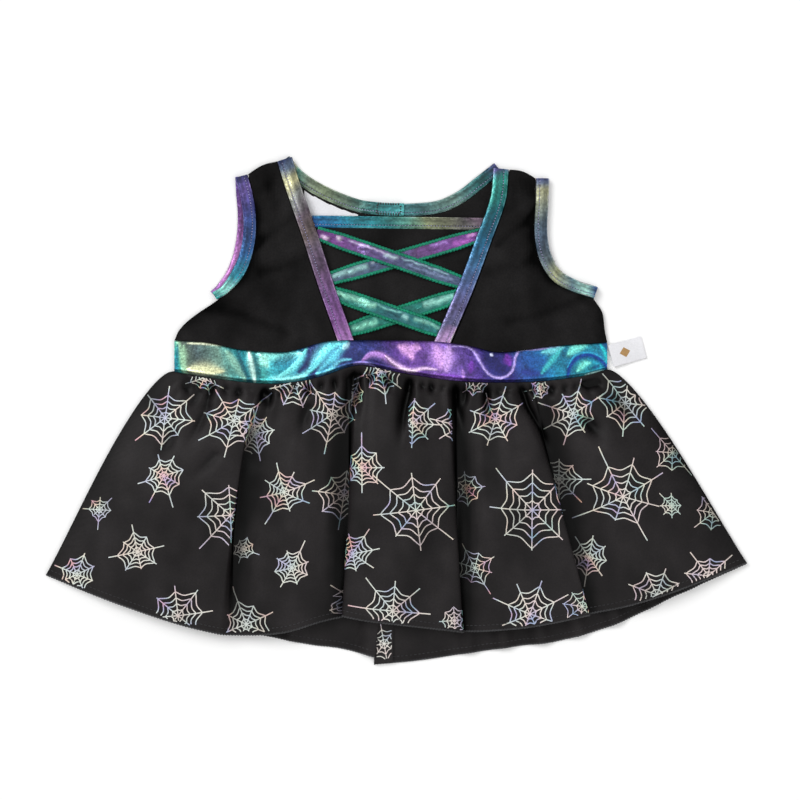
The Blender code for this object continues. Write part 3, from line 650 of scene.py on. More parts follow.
BLACK = woven_look("black_cloth_weave", (0.0112, 0.0106, 0.0108), 0.8, 0.06, 0.0, 0.45, 0.35, 0.2, True)
SATIN = woven_look("printed_satin_weave", (0.0150, 0.0132, 0.0137), 0.42, 0.09, 0.0, 0.3, 0.10, 0.12, True)
LABEL = woven_look("label_weave", (0.80, 0.80, 0.83), 0.6, 0.3, 0.0, 0.35, 0.25, 0.04)
THREAD_BLACK = woven_look("black_thread", (0.02, 0.02, 0.022), 0.6, 0.4, 0.1, 0.3, 0.2, 0.3)
THREAD_GREEN = woven_look("green_thread", linear("0c8062"), 0.55, 0.3, 0.0, 0.3, 0.2, 0.25)
THREAD_FOIL = woven_look("foil_thread", linear("a4a0c8"), 0.5, 0.4, 0.0, 0.3, 0.2, 0.3)
THREAD_TAN = woven_look("tan_thread", linear("b08a58"), 0.6, 0.3, 0.0, 0.3, 0.2, 0.1)
FOIL_BAND = foil_look("foil_band_metal", 0.32, 0.6, 0.35, 0.8)
FOIL_BINDING = foil_look("foil_binding_metal", 0.32, 0.6, 0.25, 1.0)
FOIL_LACE = foil_look("foil_lace_metal", 0.26, 0.6, 0.2, 1.4)
PEARL = print_look()

extras = {}


def waist_height(x):
    """Middle height of the front cloth along the waist, from side seam to side seam."""
    centre, half = (WAIST_LEFT + WAIST_RIGHT) / 2, (WAIST_RIGHT - WAIST_LEFT) / 2
    return FRONT_EDGE_Z + WAIST_RISE * (1 - min(abs(x - centre) / half, 1.0) ** WAIST_SHAPE)


def neckline_height(share):
    """Height of the front neckline strips, which drop to the shoulder seam."""
    return mix(NECKLINE_Z, FRONT_BINDING_Z, ease((share - NECKLINE_DROP) / (1 - NECKLINE_DROP)))


def overlap_lift(x, edge, lift):
    """How far the left back half rises to lie on the right half, whose edge is at x = edge."""
    return lift * ease((x - (edge - SEAM - OVERLAP_RAMP)) / (OVERLAP_RAMP - OVERLAP_LEVEL))


def armhole_width(side):
    """Width of a front armhole binding by the share of its length: it turns edge-on at the underarm."""
    return lambda share: ARMHOLE_WIDTH * mix(ARMHOLE_NARROW[side], 1.0, ease(share / ARMHOLE_TURN))


def down_to_waist(path, point, share):
    """The point, moved down the path so that a neckline binding ends along the waistband's top."""
    gap = point.y - height_over(WAIST_TOP, point.x) - SEAM
    down = (path.at(0) - path.at(1 / PANEL_ROWS)).normalized()
    return point - down * (gap / down.y) * max(0.0, 1 - share * PANEL_ROWS)


def back_armhole(side, knots):
    """Middle line of the back armhole, which lies further out than the front one on the left."""
    count = len(knots) - 1
    return Path([(x - BACK_ARMHOLE_SHIFT[side] * math.sin(math.pi * k / count) ** BACK_ARMHOLE_POWER, y)
                 for k, (x, y) in enumerate(knots)])


def outer_edge(side_seam, arm, width, turn):
    """Outer edge of a bodice piece, row by row: up the side seam, then along the armhole binding."""

    def along(share):
        return arm.beside(share, -turn * (width(share) / 2 + SEAM))

    seam = Path(side_seam + [tuple(along(0.0))])

    def at(t):
        row = t * PANEL_ROWS
        if row <= SIDE_ROWS:
            return seam.at(row / SIDE_ROWS)
        return along(min((row - SIDE_ROWS) / ARMHOLE_STEPS, 1.0))

    return at


def patch(bottom, top, left, right, height, across, up):
    """Grid of points between four edges, each a function of a share; height gives z over both shares."""
    lower = [bottom(i / across) for i in range(across + 1)]
    upper = [top(i / across) for i in range(across + 1)]
    start, end = (left(0), right(0)), (left(1), right(1))
    grid = []
    for j in range(up + 1):
        t = j / up
        first, last = left(t), right(t)
        row = []
        for i in range(across + 1):
            s = i / across
            point = lower[i] * (1 - t) + upper[i] * t + first * (1 - s) + last * s
            point -= (start[0] * (1 - s) + start[1] * s) * (1 - t)
            point -= (end[0] * (1 - s) + end[1] * s) * t
            row.append((point.x, point.y, height(s, t)))
        grid.append(row)
    return np.array(grid)


# A crease or pressed ridge of a panel: depth down (or up, if negative), half its width, and its course
Crease = namedtuple("Crease", "depth half course")
PANEL_CREASES = {
    "bodice_front_left": [
        Crease(0.8, 2.6, [(-64.0, 72.0), (-54.0, 78.0), (-46.0, 84.0)]),
        Crease(0.7, 3.2, [(-60.0, 60.0), (-50.0, 62.0), (-39.0, 67.0)]),
        Crease(0.9, 3.6, [(-84.0, 45.0), (-66.0, 40.0), (-50.0, 33.0)]),
        Crease(-0.5, 3.4, [(-76.0, 50.0), (-60.0, 47.0), (-44.0, 47.0)]),
        Crease(0.6, 2.6, [(-57.0, 98.0), (-54.0, 88.0)]),
    ],
    "bodice_front_right": [
        Crease(0.9, 2.4, [(61.0, 86.0), (52.0, 79.0), (43.0, 72.0)]),
        Crease(-0.6, 2.4, [(61.0, 92.0), (53.0, 87.0), (46.0, 83.0)]),
        Crease(0.7, 3.2, [(60.0, 66.0), (50.0, 62.0), (38.0, 60.0)]),
        Crease(0.8, 3.6, [(80.0, 49.0), (64.0, 42.0), (48.0, 38.0)]),
    ],
    "bodice_back_left": [
        Crease(0.2, 5.0, [(-60.0, 78.0), (-30.0, 60.0)]), Crease(0.2, 6.0, [(-70.0, 50.0), (-20.0, 44.0)]),
    ],
    "bodice_back_right": [
        Crease(0.2, 5.0, [(60.0, 78.0), (30.0, 60.0)]), Crease(0.2, 6.0, [(70.0, 50.0), (20.0, 44.0)]),
    ],
    "front_insert": [Crease(0.3, 3.0, [(-30.0, 70.0), (0.0, 62.0), (26.0, 68.0)])],
}


# How much hollows count for in the painted shade, on the flatter bodice and on the skirt
BODICE_DEPTH, SKIRT_DEPTH = 1.8, 1.25


def creased(grid, creases, ripple, size, seed):
    """The grid with its creases pressed in and a soft unevenness over it."""
    points = np.array(grid)
    plan = points[..., :2].copy()
    for crease in creases:
        points[..., 2] -= crease.depth * touch(plan, crease.course, crease.half)
    rise = [[uneven(x, y, size, seed) + 0.5 * uneven(x, y, size / 3, seed + 1) for x, y in row]
            for row in plan]
    points[..., 2] += ripple * np.array(rise)
    return points


def front_side_panel(side, seam, armhole, neckline, turn):
    """Front bodice beside the insert; turn is 1 on the viewer's left and -1 on the right."""
    neck = Path(neckline)
    outer = outer_edge(seam, Path(armhole), armhole_width(side), turn)

    def inner(t):
        return neck.beside(t, turn * (NECKLINE_WIDTH / 2 + SEAM))

    def bottom(s):
        x = mix(outer(0).x, inner(0).x, s)
        return Vector((x, height_over(WAIST_TOP, x) + SEAM))

    def height(s, t):
        edge = mix(FRONT_EDGE_Z, FRONT_BINDING_Z, ease((t - UNDERARM_START) / UNDERARM_SPAN))
        crown = mix(edge, neckline_height(t), 1 - (1 - s) ** WAIST_SHAPE)
        return mix(crown, SHOULDER_Z, ease((t - SHOULDER_DROP) / (1 - SHOULDER_DROP)))

    def top(s):
        return outer(1).lerp(inner(1), s) + Vector((0.0, SHOULDER_CROWN * math.sin(math.pi * s)))

    name = f"bodice_front_{side}"
    grid = patch(bottom, top, outer, inner, height, *PANEL_GRID)
    surface = Surface(creased(grid, PANEL_CREASES[name], 0.35, 14.0, turn + 2))
    # Its points carry the painted shade of its hollows
    shell(f"{name}_cloth", surface, THIN, BLACK, [name],
                       shading(surface, BODICE_DEPTH))


def back_bodice(side, seam, armhole, neck, turn, centre_x):
    """One half of the back bodice, flat on the surface up to where the left half rises on the right."""
    collar, beside_collar = Path(neck), turn * (NECK_WIDTH / 2 + BACK_NECK_GAP)
    outer = outer_edge([(seam[0][0], BACK_WAIST_TOP + SEAM)] + seam[1:], back_armhole(side, armhole),
                       lambda share: ARMHOLE_WIDTH, turn)

    def inner(t):
        foot = collar.beside(0.0, beside_collar)
        return Vector((centre_x, mix(BACK_WAIST_TOP + SEAM, foot.y, t)))

    def bottom(s):
        return Vector((mix(outer(0).x, centre_x, s), BACK_WAIST_TOP + SEAM))

    def top(s):
        shoulder, split = outer(1), SHOULDER_SHARE
        corner = Vector((-turn * SHOULDER_CORNER_OUT, SHOULDER_CORNER_UP))
        neck_end = collar.beside(1.0, beside_collar) + corner
        if s < split:
            return shoulder.lerp(neck_end, s / split)
        return collar.beside(1 - (s - split) / (1 - split), beside_collar)

    name = f"bodice_back_{side}"
    grid = patch(bottom, top, outer, inner, lambda s, t: BACK_Z, *BACK_GRID)
    if turn > 0:
        lift = OVERLAP_Z - BACK_Z
        rises = [[overlap_lift(x, OVERLAP_RIGHT_WAIST, lift) for x in row] for row in grid[..., 0]]
        grid[..., 2] += np.array(rises)
    surface = Surface(creased(grid, PANEL_CREASES[name], 0.1, 14.0, turn + 5))
    # Its points carry the painted shade of its hollows
    shell(f"{name}_cloth", surface, THIN, BLACK, [name],
                       shading(surface, BODICE_DEPTH))


# Foil tapes: where the topstitch runs (share of the width, to the left of the path), and the colours by
# share of the length
Tape = namedtuple("Tape", "stitch stops")
TAPES = {
    "neckline_binding_left": Tape(0.2, [
        (0.0, "c088d0"), (0.08, "8a5a9c"), (0.2, "7c5490"), (0.36, "75587f"), (0.48, "6a5c70"),
        (0.6, "706260"),
        (0.7, "6d5f6d"), (0.78, "8f9490"), (0.86, "d0cc9c"), (0.91, "c4c49c"), (0.95, "5f7088"),
        (1.0, "26345c")]),
    "neckline_binding_right": Tape(-0.2, [
        (0.0, "c8a0d8"), (0.06, "5a5a80"), (0.2, "6a6698"), (0.32, "56689c"), (0.44, "3c6a94"),
        (0.54, "1f6488"),
        (0.64, "145a74"), (0.74, "1a6a78"), (0.86, "2a8c84"), (0.94, "2f8a80"), (1.0, "4a4a7c")]),
    "armhole_binding_front_left": Tape(-0.2, [
        (0.0, "2f9a94"), (0.1, "8fd8cc"), (0.22, "2a8ca0"), (0.4, "2a5f96"), (0.6, "324f8c"),
        (0.78, "4a4a90"),
        (0.9, "6a58a0"), (1.0, "3a3c74")]),
    "armhole_binding_front_right": Tape(0.2, [
        (0.0, "38588c"), (0.08, "a8dcd0"), (0.18, "6c8c98"), (0.3, "b0b48c"), (0.4, "6c7c80"),
        (0.55, "4c5f74"),
        (0.7, "566a78"), (0.82, "8c9484"), (0.92, "c8c8a0"), (0.97, "6a7890"), (1.0, "2a2f60")]),
    "armhole_binding_back_left": Tape(-0.2, [
        (0.0, "7a4a90"), (0.25, "c080c4"), (0.6, "8a549c"), (1.0, "5a3f90")]),
    "armhole_binding_back_right": Tape(0.2, [
        (0.0, "206a74"), (0.4, "4a5a80"), (0.8, "2a7a80"), (1.0, "32387a")]),
    "neck_binding_back_left": Tape(0.22, [
        (0.0, "5fc0c0"), (0.1, "4aa8ac"), (0.17, "3a8a8c"), (0.3, "4a7a74"), (0.45, "6a8070"),
        (0.6, "889878"),
        (0.74, "8a9a84"), (0.86, "4c8478"), (0.94, "c0c49a"), (1.0, "24406c")]),
    "neck_binding_back_right": Tape(-0.22, [
        (0.0, "3f8a8c"), (0.3, "4a7c80"), (0.45, "5c807c"), (0.6, "6f9088"), (0.72, "4a7c7c"),
        (0.8, "2a6c6c"),
        (0.88, "1f5c60"), (1.0, "3a3c70")]),
    "insert_top_band": Tape(-0.22, [
        (0.0, "1f5cb0"), (0.1, "2a86b8"), (0.24, "2a8ca0"), (0.42, "2f8c90"), (0.56, "5f9c8c"),
        (0.68, "8a9470"),
        (0.8, "7a7c68"), (0.92, "6a6668"), (1.0, "8a7488")]),
}
TAPE_ACROSS = 18
TAPE_STEPS = 200
TAPE_CROWN, TAPE_GROOVE, TAPE_PUCKER = 0.18, 0.16, 0.1
TAPE_EDGE_LOSS, TAPE_EDGE_POWER = 0.75, 5
FOIL_LEVEL, BAND_LEVEL, BAND_POWER = 0.72, 0.95, 1.22
# Stitches: how far apart, share that is thread, width and rise
Stitches = namedtuple("Stitches", "pitch share width rise")
TOPSTITCH = Stitches(1.25, 0.55, 0.5, 0.26)
FASTENING_STITCH = Stitches(1.1, 0.7, 0.95, 0.25)
HEM_STITCHES = Stitches(1.9, 0.7, 0.4, 0.16)


# Painted light and shade along a tape: how strong, where across it as a share of the width, and half their
# width
EDGE_LIGHT, EDGE_PLACE, EDGE_HALF = 1.7, 0.44, 0.03
GROOVE_SHADE, GROOVE_HALF = 0.6, 0.05
FOLD_SHADE, FOLD_PLACE, FOLD_HALF = 0.45, 0.8, 0.13
OUTLINE_SHADOW, OUTLINE_HALF = 0.7, 0.02


def tape_profile(a, stitch):
    """Painted highlights on a tape's folded edges, painted shade in its stitch groove and fold, and a painted
    shadow line at its sides.
    """
    edges = EDGE_LIGHT * math.exp(-((abs(a) - EDGE_PLACE) / EDGE_HALF) ** 2)
    groove = GROOVE_SHADE * math.exp(-((a - stitch) / GROOVE_HALF) ** 2)
    fold = FOLD_SHADE * math.exp(-((a + FOLD_PLACE * stitch) / FOLD_HALF) ** 2)
    outline = OUTLINE_SHADOW * math.exp(-((abs(a) - 0.5) / OUTLINE_HALF) ** 2)
    return 1.0 + edges - groove - fold - outline


def tape(name, path, width, height, ends_at_waist=False):
    """A folded foil tape along a path, crowned across, with a groove and stitches along it."""
    look = TAPES[name]
    stops = [(share, linear(code)) for share, code in look.stops]
    grid, colour_and_painted_light, thick = [], [], []
    seed = len(name) + sum(map(ord, name[-6:]))
    for k in range(TAPE_ACROSS + 1):
        a = k / TAPE_ACROSS - 0.5
        row, colours, depths = [], [], []
        for i in range(TAPE_STEPS + 1):
            share = i / TAPE_STEPS
            along = share * path.length
            point = path.beside(share, a * width(share))
            if ends_at_waist:
                point = down_to_waist(path, point, share)
            groove = math.exp(-((a - look.stitch) / 0.055) ** 2)
            pucker = uneven(along, a * 9, 2.4, seed)
            relief = TAPE_CROWN * (1 - 4 * a * a) - TAPE_GROOVE * groove + TAPE_PUCKER * pucker
            row.append((point.x, point.y, height(share) + relief))
            colour = ramp(stops, share + 0.04 * uneven(along, a * 6, 7.0, seed + 3) + 0.04 * a)
            # Painted light and shade: the painted profile across the tape times an uneven glow along it,
            # whitened where brightest as a painted highlight
            glow = 1 + 0.55 * uneven(along, a * 16, 6.0, seed + 5)
            glow += 0.35 * uneven(along, a * 10, 1.6, seed + 6)
            light = FOIL_LEVEL * tape_profile(a, look.stitch) * glow
            colours.append(np.clip(colour * light + 0.18 * max(light - 1.3, 0), 0.002, 0.9))
            depths.append(TAPE_THICK * (1 - TAPE_EDGE_LOSS * (2 * abs(a)) ** TAPE_EDGE_POWER))
        grid.append(row)
        colour_and_painted_light.append(colours)
        thick.append(depths)
    surface = Surface(grid)
    shell(f"{name}_tape", surface, np.array(thick), FOIL_BINDING, [name],
                       np.array(colour_and_painted_light))
    rows = np.full(TAPE_STEPS + 1, (look.stitch + 0.5) * TAPE_ACROSS)
    line, ups = surface.above(rows, np.arange(TAPE_STEPS + 1.0), TAPE_THICK / 2)
    points, faces = joined(run_of_stitches(line, ups, TOPSTITCH))
    extras.setdefault(name, []).append(
        new_object(f"{name}_topstitch", points, faces, THREAD_FOIL))
    return surface


# Black stitched rectangle at the end of the left back neck binding, as share of its path and aside
FASTENING_CORNERS = [(0.025, -2.2), (0.025, 2.2), (0.2, 2.2), (0.2, -2.2), (0.025, -2.2)]


def bindings():
    """Foil bindings of the neckline, back neck and armholes."""
    for name, knots in (("neckline_binding_left", NECKLINE_LEFT),
    ("neckline_binding_right", NECKLINE_RIGHT)):
        tape(name, Path(knots), lambda share: NECKLINE_WIDTH, neckline_height, True)
    for side, knots in (("left", ARMHOLE_LEFT), ("right", ARMHOLE_RIGHT)):
        tape(f"armhole_binding_front_{side}", Path(knots), armhole_width(side), lambda share: FRONT_BINDING_Z)
        tape(f"armhole_binding_back_{side}", back_armhole(side, knots), lambda share: ARMHOLE_WIDTH,
             lambda share: BACK_BINDING_Z)
    lift = BINDING + SEAM
    left = Path(NECK_LEFT)
    tape("neck_binding_back_left", left, lambda share: NECK_WIDTH,
         lambda share: BACK_BINDING_Z + overlap_lift(left.at(share).x, OVERLAP_RIGHT_WAIST, lift))
    tape("neck_binding_back_right", Path(NECK_RIGHT), lambda share: NECK_WIDTH, lambda share: BACK_BINDING_Z)
    top = BACK_BINDING_Z + lift + TAPE_THICK / 2 + 0.1
    corners = [left.beside(share, aside) for share, aside in FASTENING_CORNERS]
    line, ups = [], []
    for a, b in zip(corners, corners[1:]):
        line += [(*a.lerp(b, k / 8), top) for k in range(8)]
    line.append((*corners[-1], top))
    ups = np.tile((0.0, 0.0, 1.0), (len(line), 1))
    points, faces = joined(run_of_stitches(line, ups, FASTENING_STITCH))
    extras["neck_binding_back_left"].append(
        new_object("fastening_stitches", points, faces, THREAD_BLACK))


def front_insert():
    """Black trapezoid behind the laces; its sides and foot are tucked behind the pieces round it."""
    reach = NECKLINE_WIDTH / 2 + INSERT_TUCK

    def edge(knots, top, turn):
        path = Path(knots)
        share_top = (top - knots[0][1]) / (knots[-1][1] - knots[0][1])
        return lambda t: Vector((path.beside(t * share_top, turn * reach).x, mix(INSERT_BOTTOM, top, t)))

    first = edge(NECKLINE_LEFT, INSERT_TOP_LEFT, 1)
    last = edge(NECKLINE_RIGHT, INSERT_TOP_RIGHT, -1)
    grid = patch(lambda s: first(0).lerp(last(0), s), lambda s: first(1).lerp(last(1), s),
                 first, last, lambda s, t: INSERT_Z, *INSERT_GRID)
    surface = Surface(creased(grid, PANEL_CREASES["front_insert"], 0.16, 9.0, 11))
    # Its points carry the painted shade of its hollows
    shell("front_insert_cloth", surface, THIN, BLACK, ["front_insert"],
                                 shading(surface))
    tape("insert_top_band", Path([BAND_LEFT, BAND_RIGHT]), lambda share: BAND_WIDTH, lambda share: INSERT_Z)


# Laces: colours by share of their length
LACE_COLOURS = {
    "lace_upper_over": [(0.0, "6a3a80"), (0.16, "7a4a90"), (0.3, "6a5088"), (0.45, "5a5080"),
    (0.6, "4c5878"),
                        (0.8, "4c607c"), (1.0, "4a5a7c")],
    "lace_upper_under": [(0.0, "7a3f90"), (0.2, "744890"), (0.38, "68487c"), (0.6, "4a5478"),
    (0.8, "4a6078"),
                         (1.0, "4a6478")],
    "lace_lower_over": [(0.0, "1f7a70"), (0.3, "2a8078"), (0.5, "2a6470"), (0.7, "2a7478"),
    (1.0, "1f7070")],
    "lace_lower_under": [(0.0, "1f8478"), (0.3, "22746c"), (0.6, "1f7a70"), (1.0, "1f6c60")],
}
# Painted highlights, as streaks of light on each lace: from and to as shares of its length, aside, half width
# and colour
Streak = namedtuple("Streak", "start end aside half colour")
LACE_STREAKS = {
    "lace_upper_over": [
        Streak(0.02, 0.10, -0.12, 0.16, "f4d8f4"), Streak(0.12, 0.18, 0.18, 0.16, "f8e8fa"),
        Streak(0.2, 0.5, 0.22, 0.07, "d8c8f0"), Streak(0.44, 0.56, 0.12, 0.14, "c8e0ec"),
        Streak(0.56, 0.9, 0.26, 0.06, "a8d0dc"), Streak(0.6, 0.95, -0.05, 0.12, "8090b4"),
    ],
    "lace_upper_under": [
        Streak(0.02, 0.1, 0.2, 0.14, "f0b0f0"), Streak(0.06, 0.2, -0.1, 0.18, "c870d8"),
        Streak(0.2, 0.34, 0.2, 0.1, "b088d8"), Streak(0.58, 0.72, 0.3, 0.1, "c8dce8"),
        Streak(0.72, 0.98, 0.16, 0.2, "a8dcd8"),
    ],
    "lace_lower_over": [
        Streak(0.02, 0.4, 0.1, 0.2, "a0ead0"), Streak(0.38, 0.62, 0.24, 0.07, "88d8cc"),
        Streak(0.6, 0.68, 0.05, 0.16, "b8f4ee"), Streak(0.7, 0.97, 0.16, 0.14, "90dcc8"),
    ],
    "lace_lower_under": [
        Streak(0.03, 0.34, 0.1, 0.22, "a8f0e0"), Streak(0.62, 0.72, 0.2, 0.12, "98dcc8"),
        Streak(0.72, 0.97, 0.0, 0.22, "8ce0c4"),
    ],
}
LACE_STEPS, LACE_ACROSS = 160, 16
CORD_RADIUS = 0.72
CORD_READINGS = 300
# Pitch, number of strands and depth of the twist in the laces' cords and in the hem's thread
CORD_TWIST, HEM_TWIST = (1.5, 2, 0.2), (1.3, 1, 0.3)


def laces():
    """Four foil laces in two crosses on the insert, with corded edges."""
    for seed, lace in enumerate(LACES):
        path = Path([lace.start, lace.end])
        cross = (LACE_CROSSING_X - lace.start[0]) / (lace.end[0] - lace.start[0])
        stops = [(share, linear(code)) for share, code in LACE_COLOURS[lace.name]]
        upward = 1 if lace.end[0] > lace.start[0] else -1
        grid, colour_and_painted_light = [], []
        for k in range(LACE_ACROSS + 1):
            a = k / LACE_ACROSS - 0.5
            row, colours = [], []
            for i in range(LACE_STEPS + 1):
                share = i / LACE_STEPS
                beyond = abs(share - cross) * path.length - LACE_CROSSING_HALF
                rise = LACE_STEP * ease(1 - beyond / LACE_RAMP) if lace.over else 0.0
                taper = 1 - LACE_TAPER * (1 - ease(min(share, 1 - share) / 0.2))
                point = path.beside(share, a * taper * (LACE_WIDTH - 2 * CORD_RADIUS))
                along = share * path.length
                crumple = 0.35 * uneven(along, a * 10, 3.2, 20 + seed)
                crumple += 0.2 * uneven(along, a * 12, 1.3, 30 + seed)
                z = INSERT_Z + LACE_STEP + rise + crumple * (1 - 3.2 * a * a)
                row.append((point.x, point.y, z))
                colour = ramp(stops, share + 0.06 * uneven(along, a * 9, 4.0, 40 + seed))
                colour = colour * (1 + 0.5 * uneven(along, a * 16, 2.6, 50 + seed))
                # Painted highlights along the lace
                for streak in LACE_STREAKS[lace.name]:
                    centre = upward * streak.aside + 0.12 * uneven(along, 0, 3.0, 60 + seed)
                    ends = ease((share - streak.start) / 0.03) * ease((streak.end - share) / 0.03)
                    cover = 0.95 * ends * math.exp(-((a - centre) / streak.half) ** 2)
                    cover *= 0.8 + 0.4 * uneven(along, a * 20, 1.5, 70 + seed)
                    colour = mix(colour, np.array(linear(streak.colour)), min(cover, 1.0))
                colours.append(np.clip(colour * FOIL_LEVEL, 0, 0.95))
            grid.append(row)
            colour_and_painted_light.append(colours)
        surface = Surface(grid)
        shell(f"{lace.name}_ribbon", surface, THIN, FOIL_LACE, [lace.name],
                                np.array(colour_and_painted_light))
        cords = []
        steps = np.linspace(0, LACE_STEPS, CORD_READINGS)
        for row in (0, LACE_ACROSS):
            line, ups = surface.above(np.full(CORD_READINGS, float(row)), steps, 0.1)
            cords.append(tube(line, ups, CORD_RADIUS, CORD_TWIST))
        points, faces = joined(cords)
        extras[lace.name] = [new_object(f"{lace.name}_edges", points, faces, THREAD_GREEN)]


# Foil waistband: base colours by X, then strokes of colour, mostly painted highlights and painted dark bands
# of reflection with some patches of the foil's own hue; each with its colour, half its width, how much wider
# its soft side fades, how far it rises, how much it covers, and its course
BAND_STOPS = [(-99.0, "1f6c80"), (-97.7, "2f9aa0"), (-96.4, "48a89c"), (-94.6, "a4ccae"),
              (-92.8, "68786e"), (-87.6, "56686a"), (-81.4, "64807a"), (-77.9, "7a9c90"),
              (-74.4, "5c9c98"), (-70.8, "2f8c92"), (-67.8, "1f7c88"), (-63.8, "3f9c9c"),
              (-60.3, "5cbcb8"), (-55.9, "52b8c4"), (-51.5, "3a9cae"), (-46.2, "2f88a4"),
              (-42.7, "3a90b0"), (-38.3, "3c4480"), (-33.9, "3a4a88"), (-29.5, "4a94b8"),
              (-25.1, "4a78a8"), (-18.9, "3e4884"), (-13.6, "3c4684"), (-6.6, "4c4888"),
              (-0.4, "6a4c98"), (5.7, "7c58a8"), (11.0, "6c4c98"), (16.3, "a07cc8"), (22.4, "9c7cd0"),
              (27.7, "6a5298"), (33.9, "5c4494"), (40.0, "3c3c84"), (48.0, "3c3880"), (53.2, "3c5c9c"),
              (58.5, "2f6aa4"), (63.8, "2a7aa8"), (69.1, "2f90ac"), (73.5, "2a7c98"), (79.6, "2f94a0"),
              (88.4, "2a90a8"), (91.5, "2a6c9c")]
Stroke = namedtuple("Stroke", "colour half soft rise cover course")
